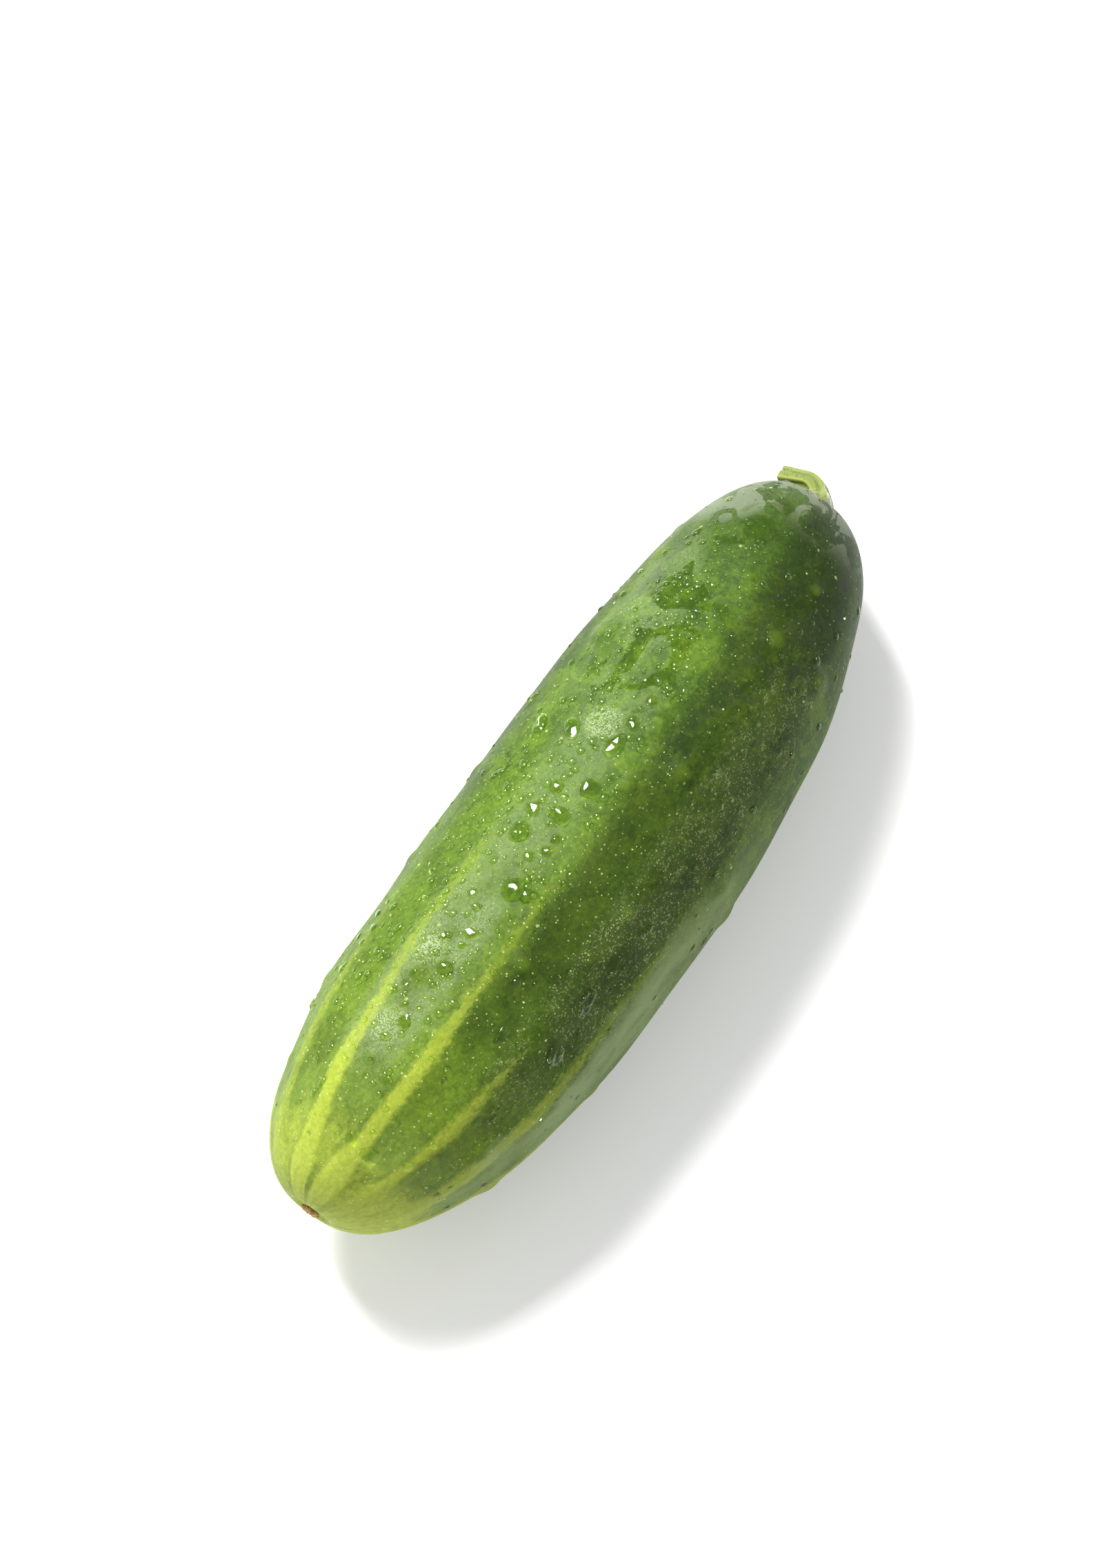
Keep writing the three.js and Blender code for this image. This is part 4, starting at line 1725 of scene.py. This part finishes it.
    def dew(self, material: bpy.types.Material) -> bpy.types.Object:
        """Fine dew of a few tenths of a millimetre."""
        recipe = Recipe("Fine Dew")
        graph = recipe.graph
        small = recipe.given("Smallest", self.dew_sizes[0])
        big = recipe.given("Largest", self.dew_sizes[1])
        area = sum(face.area for face in self.skin.data.polygons)
        density = self.wetness(recipe, self.dew_cluster) * (self.dew_tries * self.dew_count / area)
        scatter = {"Mesh": recipe.host, "Density": density, "Seed": 41}
        node = graph.node("GeometryNodeDistributePointsOnFaces", scatter, distribute_method="RANDOM")
        wide = small + (big - small) * recipe.chance(0.0, 1.0, seed=51) ** 2.0
        size = graph.vector(wide, wide, wide * 0.6)
        points, normal = (Field(graph, node.outputs[name]) for name in ("Points", "Normal"))
        points = recipe.stored(points, "facing", normal, kind="FLOAT_VECTOR")
        drops = recipe.instances(points, recipe.dome(segments=6, rings=4, sink=0.3), normal, size,
                                 recipe.chance(0.0, 6.3, seed=53))
        return keep(recipe.run("water_dew", drops, material, host=self.skin.data.copy()))


@dataclass
class Stage:
    """White table, soft white surroundings, one bright soft lamp, and the camera."""

    table_size: float = 3.0
    table_colour: tuple = (0.9, 0.9, 0.9, 1.0)
    table_glow: float = 0.22
    room_light: float = 0.6
    lamp_power: float = 22.0
    lamp_size: tuple[float, float] = (0.3, 0.38)
    lamp_distance: float = 1.0

    def build(self) -> None:
        """Set up everything around the fruit."""
        self.table()
        self.room()
        self.lamp()
        self.camera()
        view = bpy.context.scene.view_settings
        view.view_transform = "Standard"
        view.look = "None"

    def table(self) -> None:
        """A plain white floor under the fruit."""
        half = self.table_size / 2
        mesh = bpy.data.meshes.new("white_table")
        corners = [(-half, -half, 0), (half, -half, 0), (half, half, 0), (-half, half, 0)]
        mesh.from_pydata(corners, [], [(0, 1, 2, 3)])
        finish = Finish("white_table", Roughness=0.9)
        finish.shader.inputs["Base Color"].default_value = self.table_colour
        finish.shader.inputs["Specular IOR Level"].default_value = 0.0
        finish.shader.inputs["Emission Color"].default_value = (1.0, 1.0, 1.0, 1.0)
        finish.shader.inputs["Emission Strength"].default_value = self.table_glow
        mesh.materials.append(finish.material)
        table = put("white_table", mesh)
        table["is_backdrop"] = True

    def room(self) -> None:
        """Even white light from all round."""
        world = bpy.data.worlds.new("white_room")
        world.use_nodes = True
        background = next(node for node in world.node_tree.nodes if node.type == "BACKGROUND")
        background.inputs["Color"].default_value = (1.0, 1.0, 1.0, 1.0)
        background.inputs["Strength"].default_value = self.room_light
        bpy.context.scene.world = world

    def lamp(self) -> None:
        """Hang the rectangular lamp over the fruit, facing it."""
        light = bpy.data.lights.new("key_lamp", "AREA")
        light.shape = "RECTANGLE"
        light.size, light.size_y = self.lamp_size
        light.energy = self.lamp_power
        way = Vector(LAMP_WAY)
        lamp = put("key_lamp", light)
        lamp.location = way.normalized() * self.lamp_distance
        lamp.rotation_euler = way.to_track_quat("Z", "Y").to_euler()

    def camera(self) -> None:
        """Look at the fruit from the photograph's side."""
        flat = math.cos(VIEW_ELEVATION)
        back = Vector((math.sin(VIEW_AZIMUTH) * flat, -math.cos(VIEW_AZIMUTH) * flat,
                       math.sin(VIEW_ELEVATION)))
        right = Vector((0, 0, 1)).cross(back).normalized()
        up = back.cross(right)
        data = bpy.data.cameras.new("camera")
        data.sensor_fit = "VERTICAL"
        data.sensor_height = 24.0
        data.lens = data.sensor_height / 2 / math.tan(VIEW_HEIGHT_ANGLE / 2)
        data.clip_start = 0.05
        camera = put("camera", data)
        aim = VIEW_AIM + right * VIEW_SLIDE_RIGHT + up * VIEW_SLIDE_UP
        camera.location = aim + back * VIEW_DISTANCE
        camera.rotation_euler = back.to_track_quat("Z", "Y").to_euler()
        bpy.context.scene.camera = camera


def plain(box: tuple) -> list[list[float]]:
    """A box as plain lists of numbers."""
    return [[float(number) for number in corner] for corner in box]


def main() -> None:
    """Build and dress the cucumber, then its surroundings."""
    logging.basicConfig(level=logging.INFO, format="%(name)s: %(message)s")
    solid_box = plain(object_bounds())
    effects = Effects()
    skin = Skin()
    dry = skin.shaped()
    places = Water(skin.form, dry).places()
    body = skin.wetted(dry, places, effects)
    Water(skin.form, body).build(places)
    Stalk(skin.form).build(effects)
    BlossomScar(skin.form).build(effects)
    Stage().build()
    {"cad": solid_box, "visual": plain(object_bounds())}


if __name__ == "__main__":
    main()
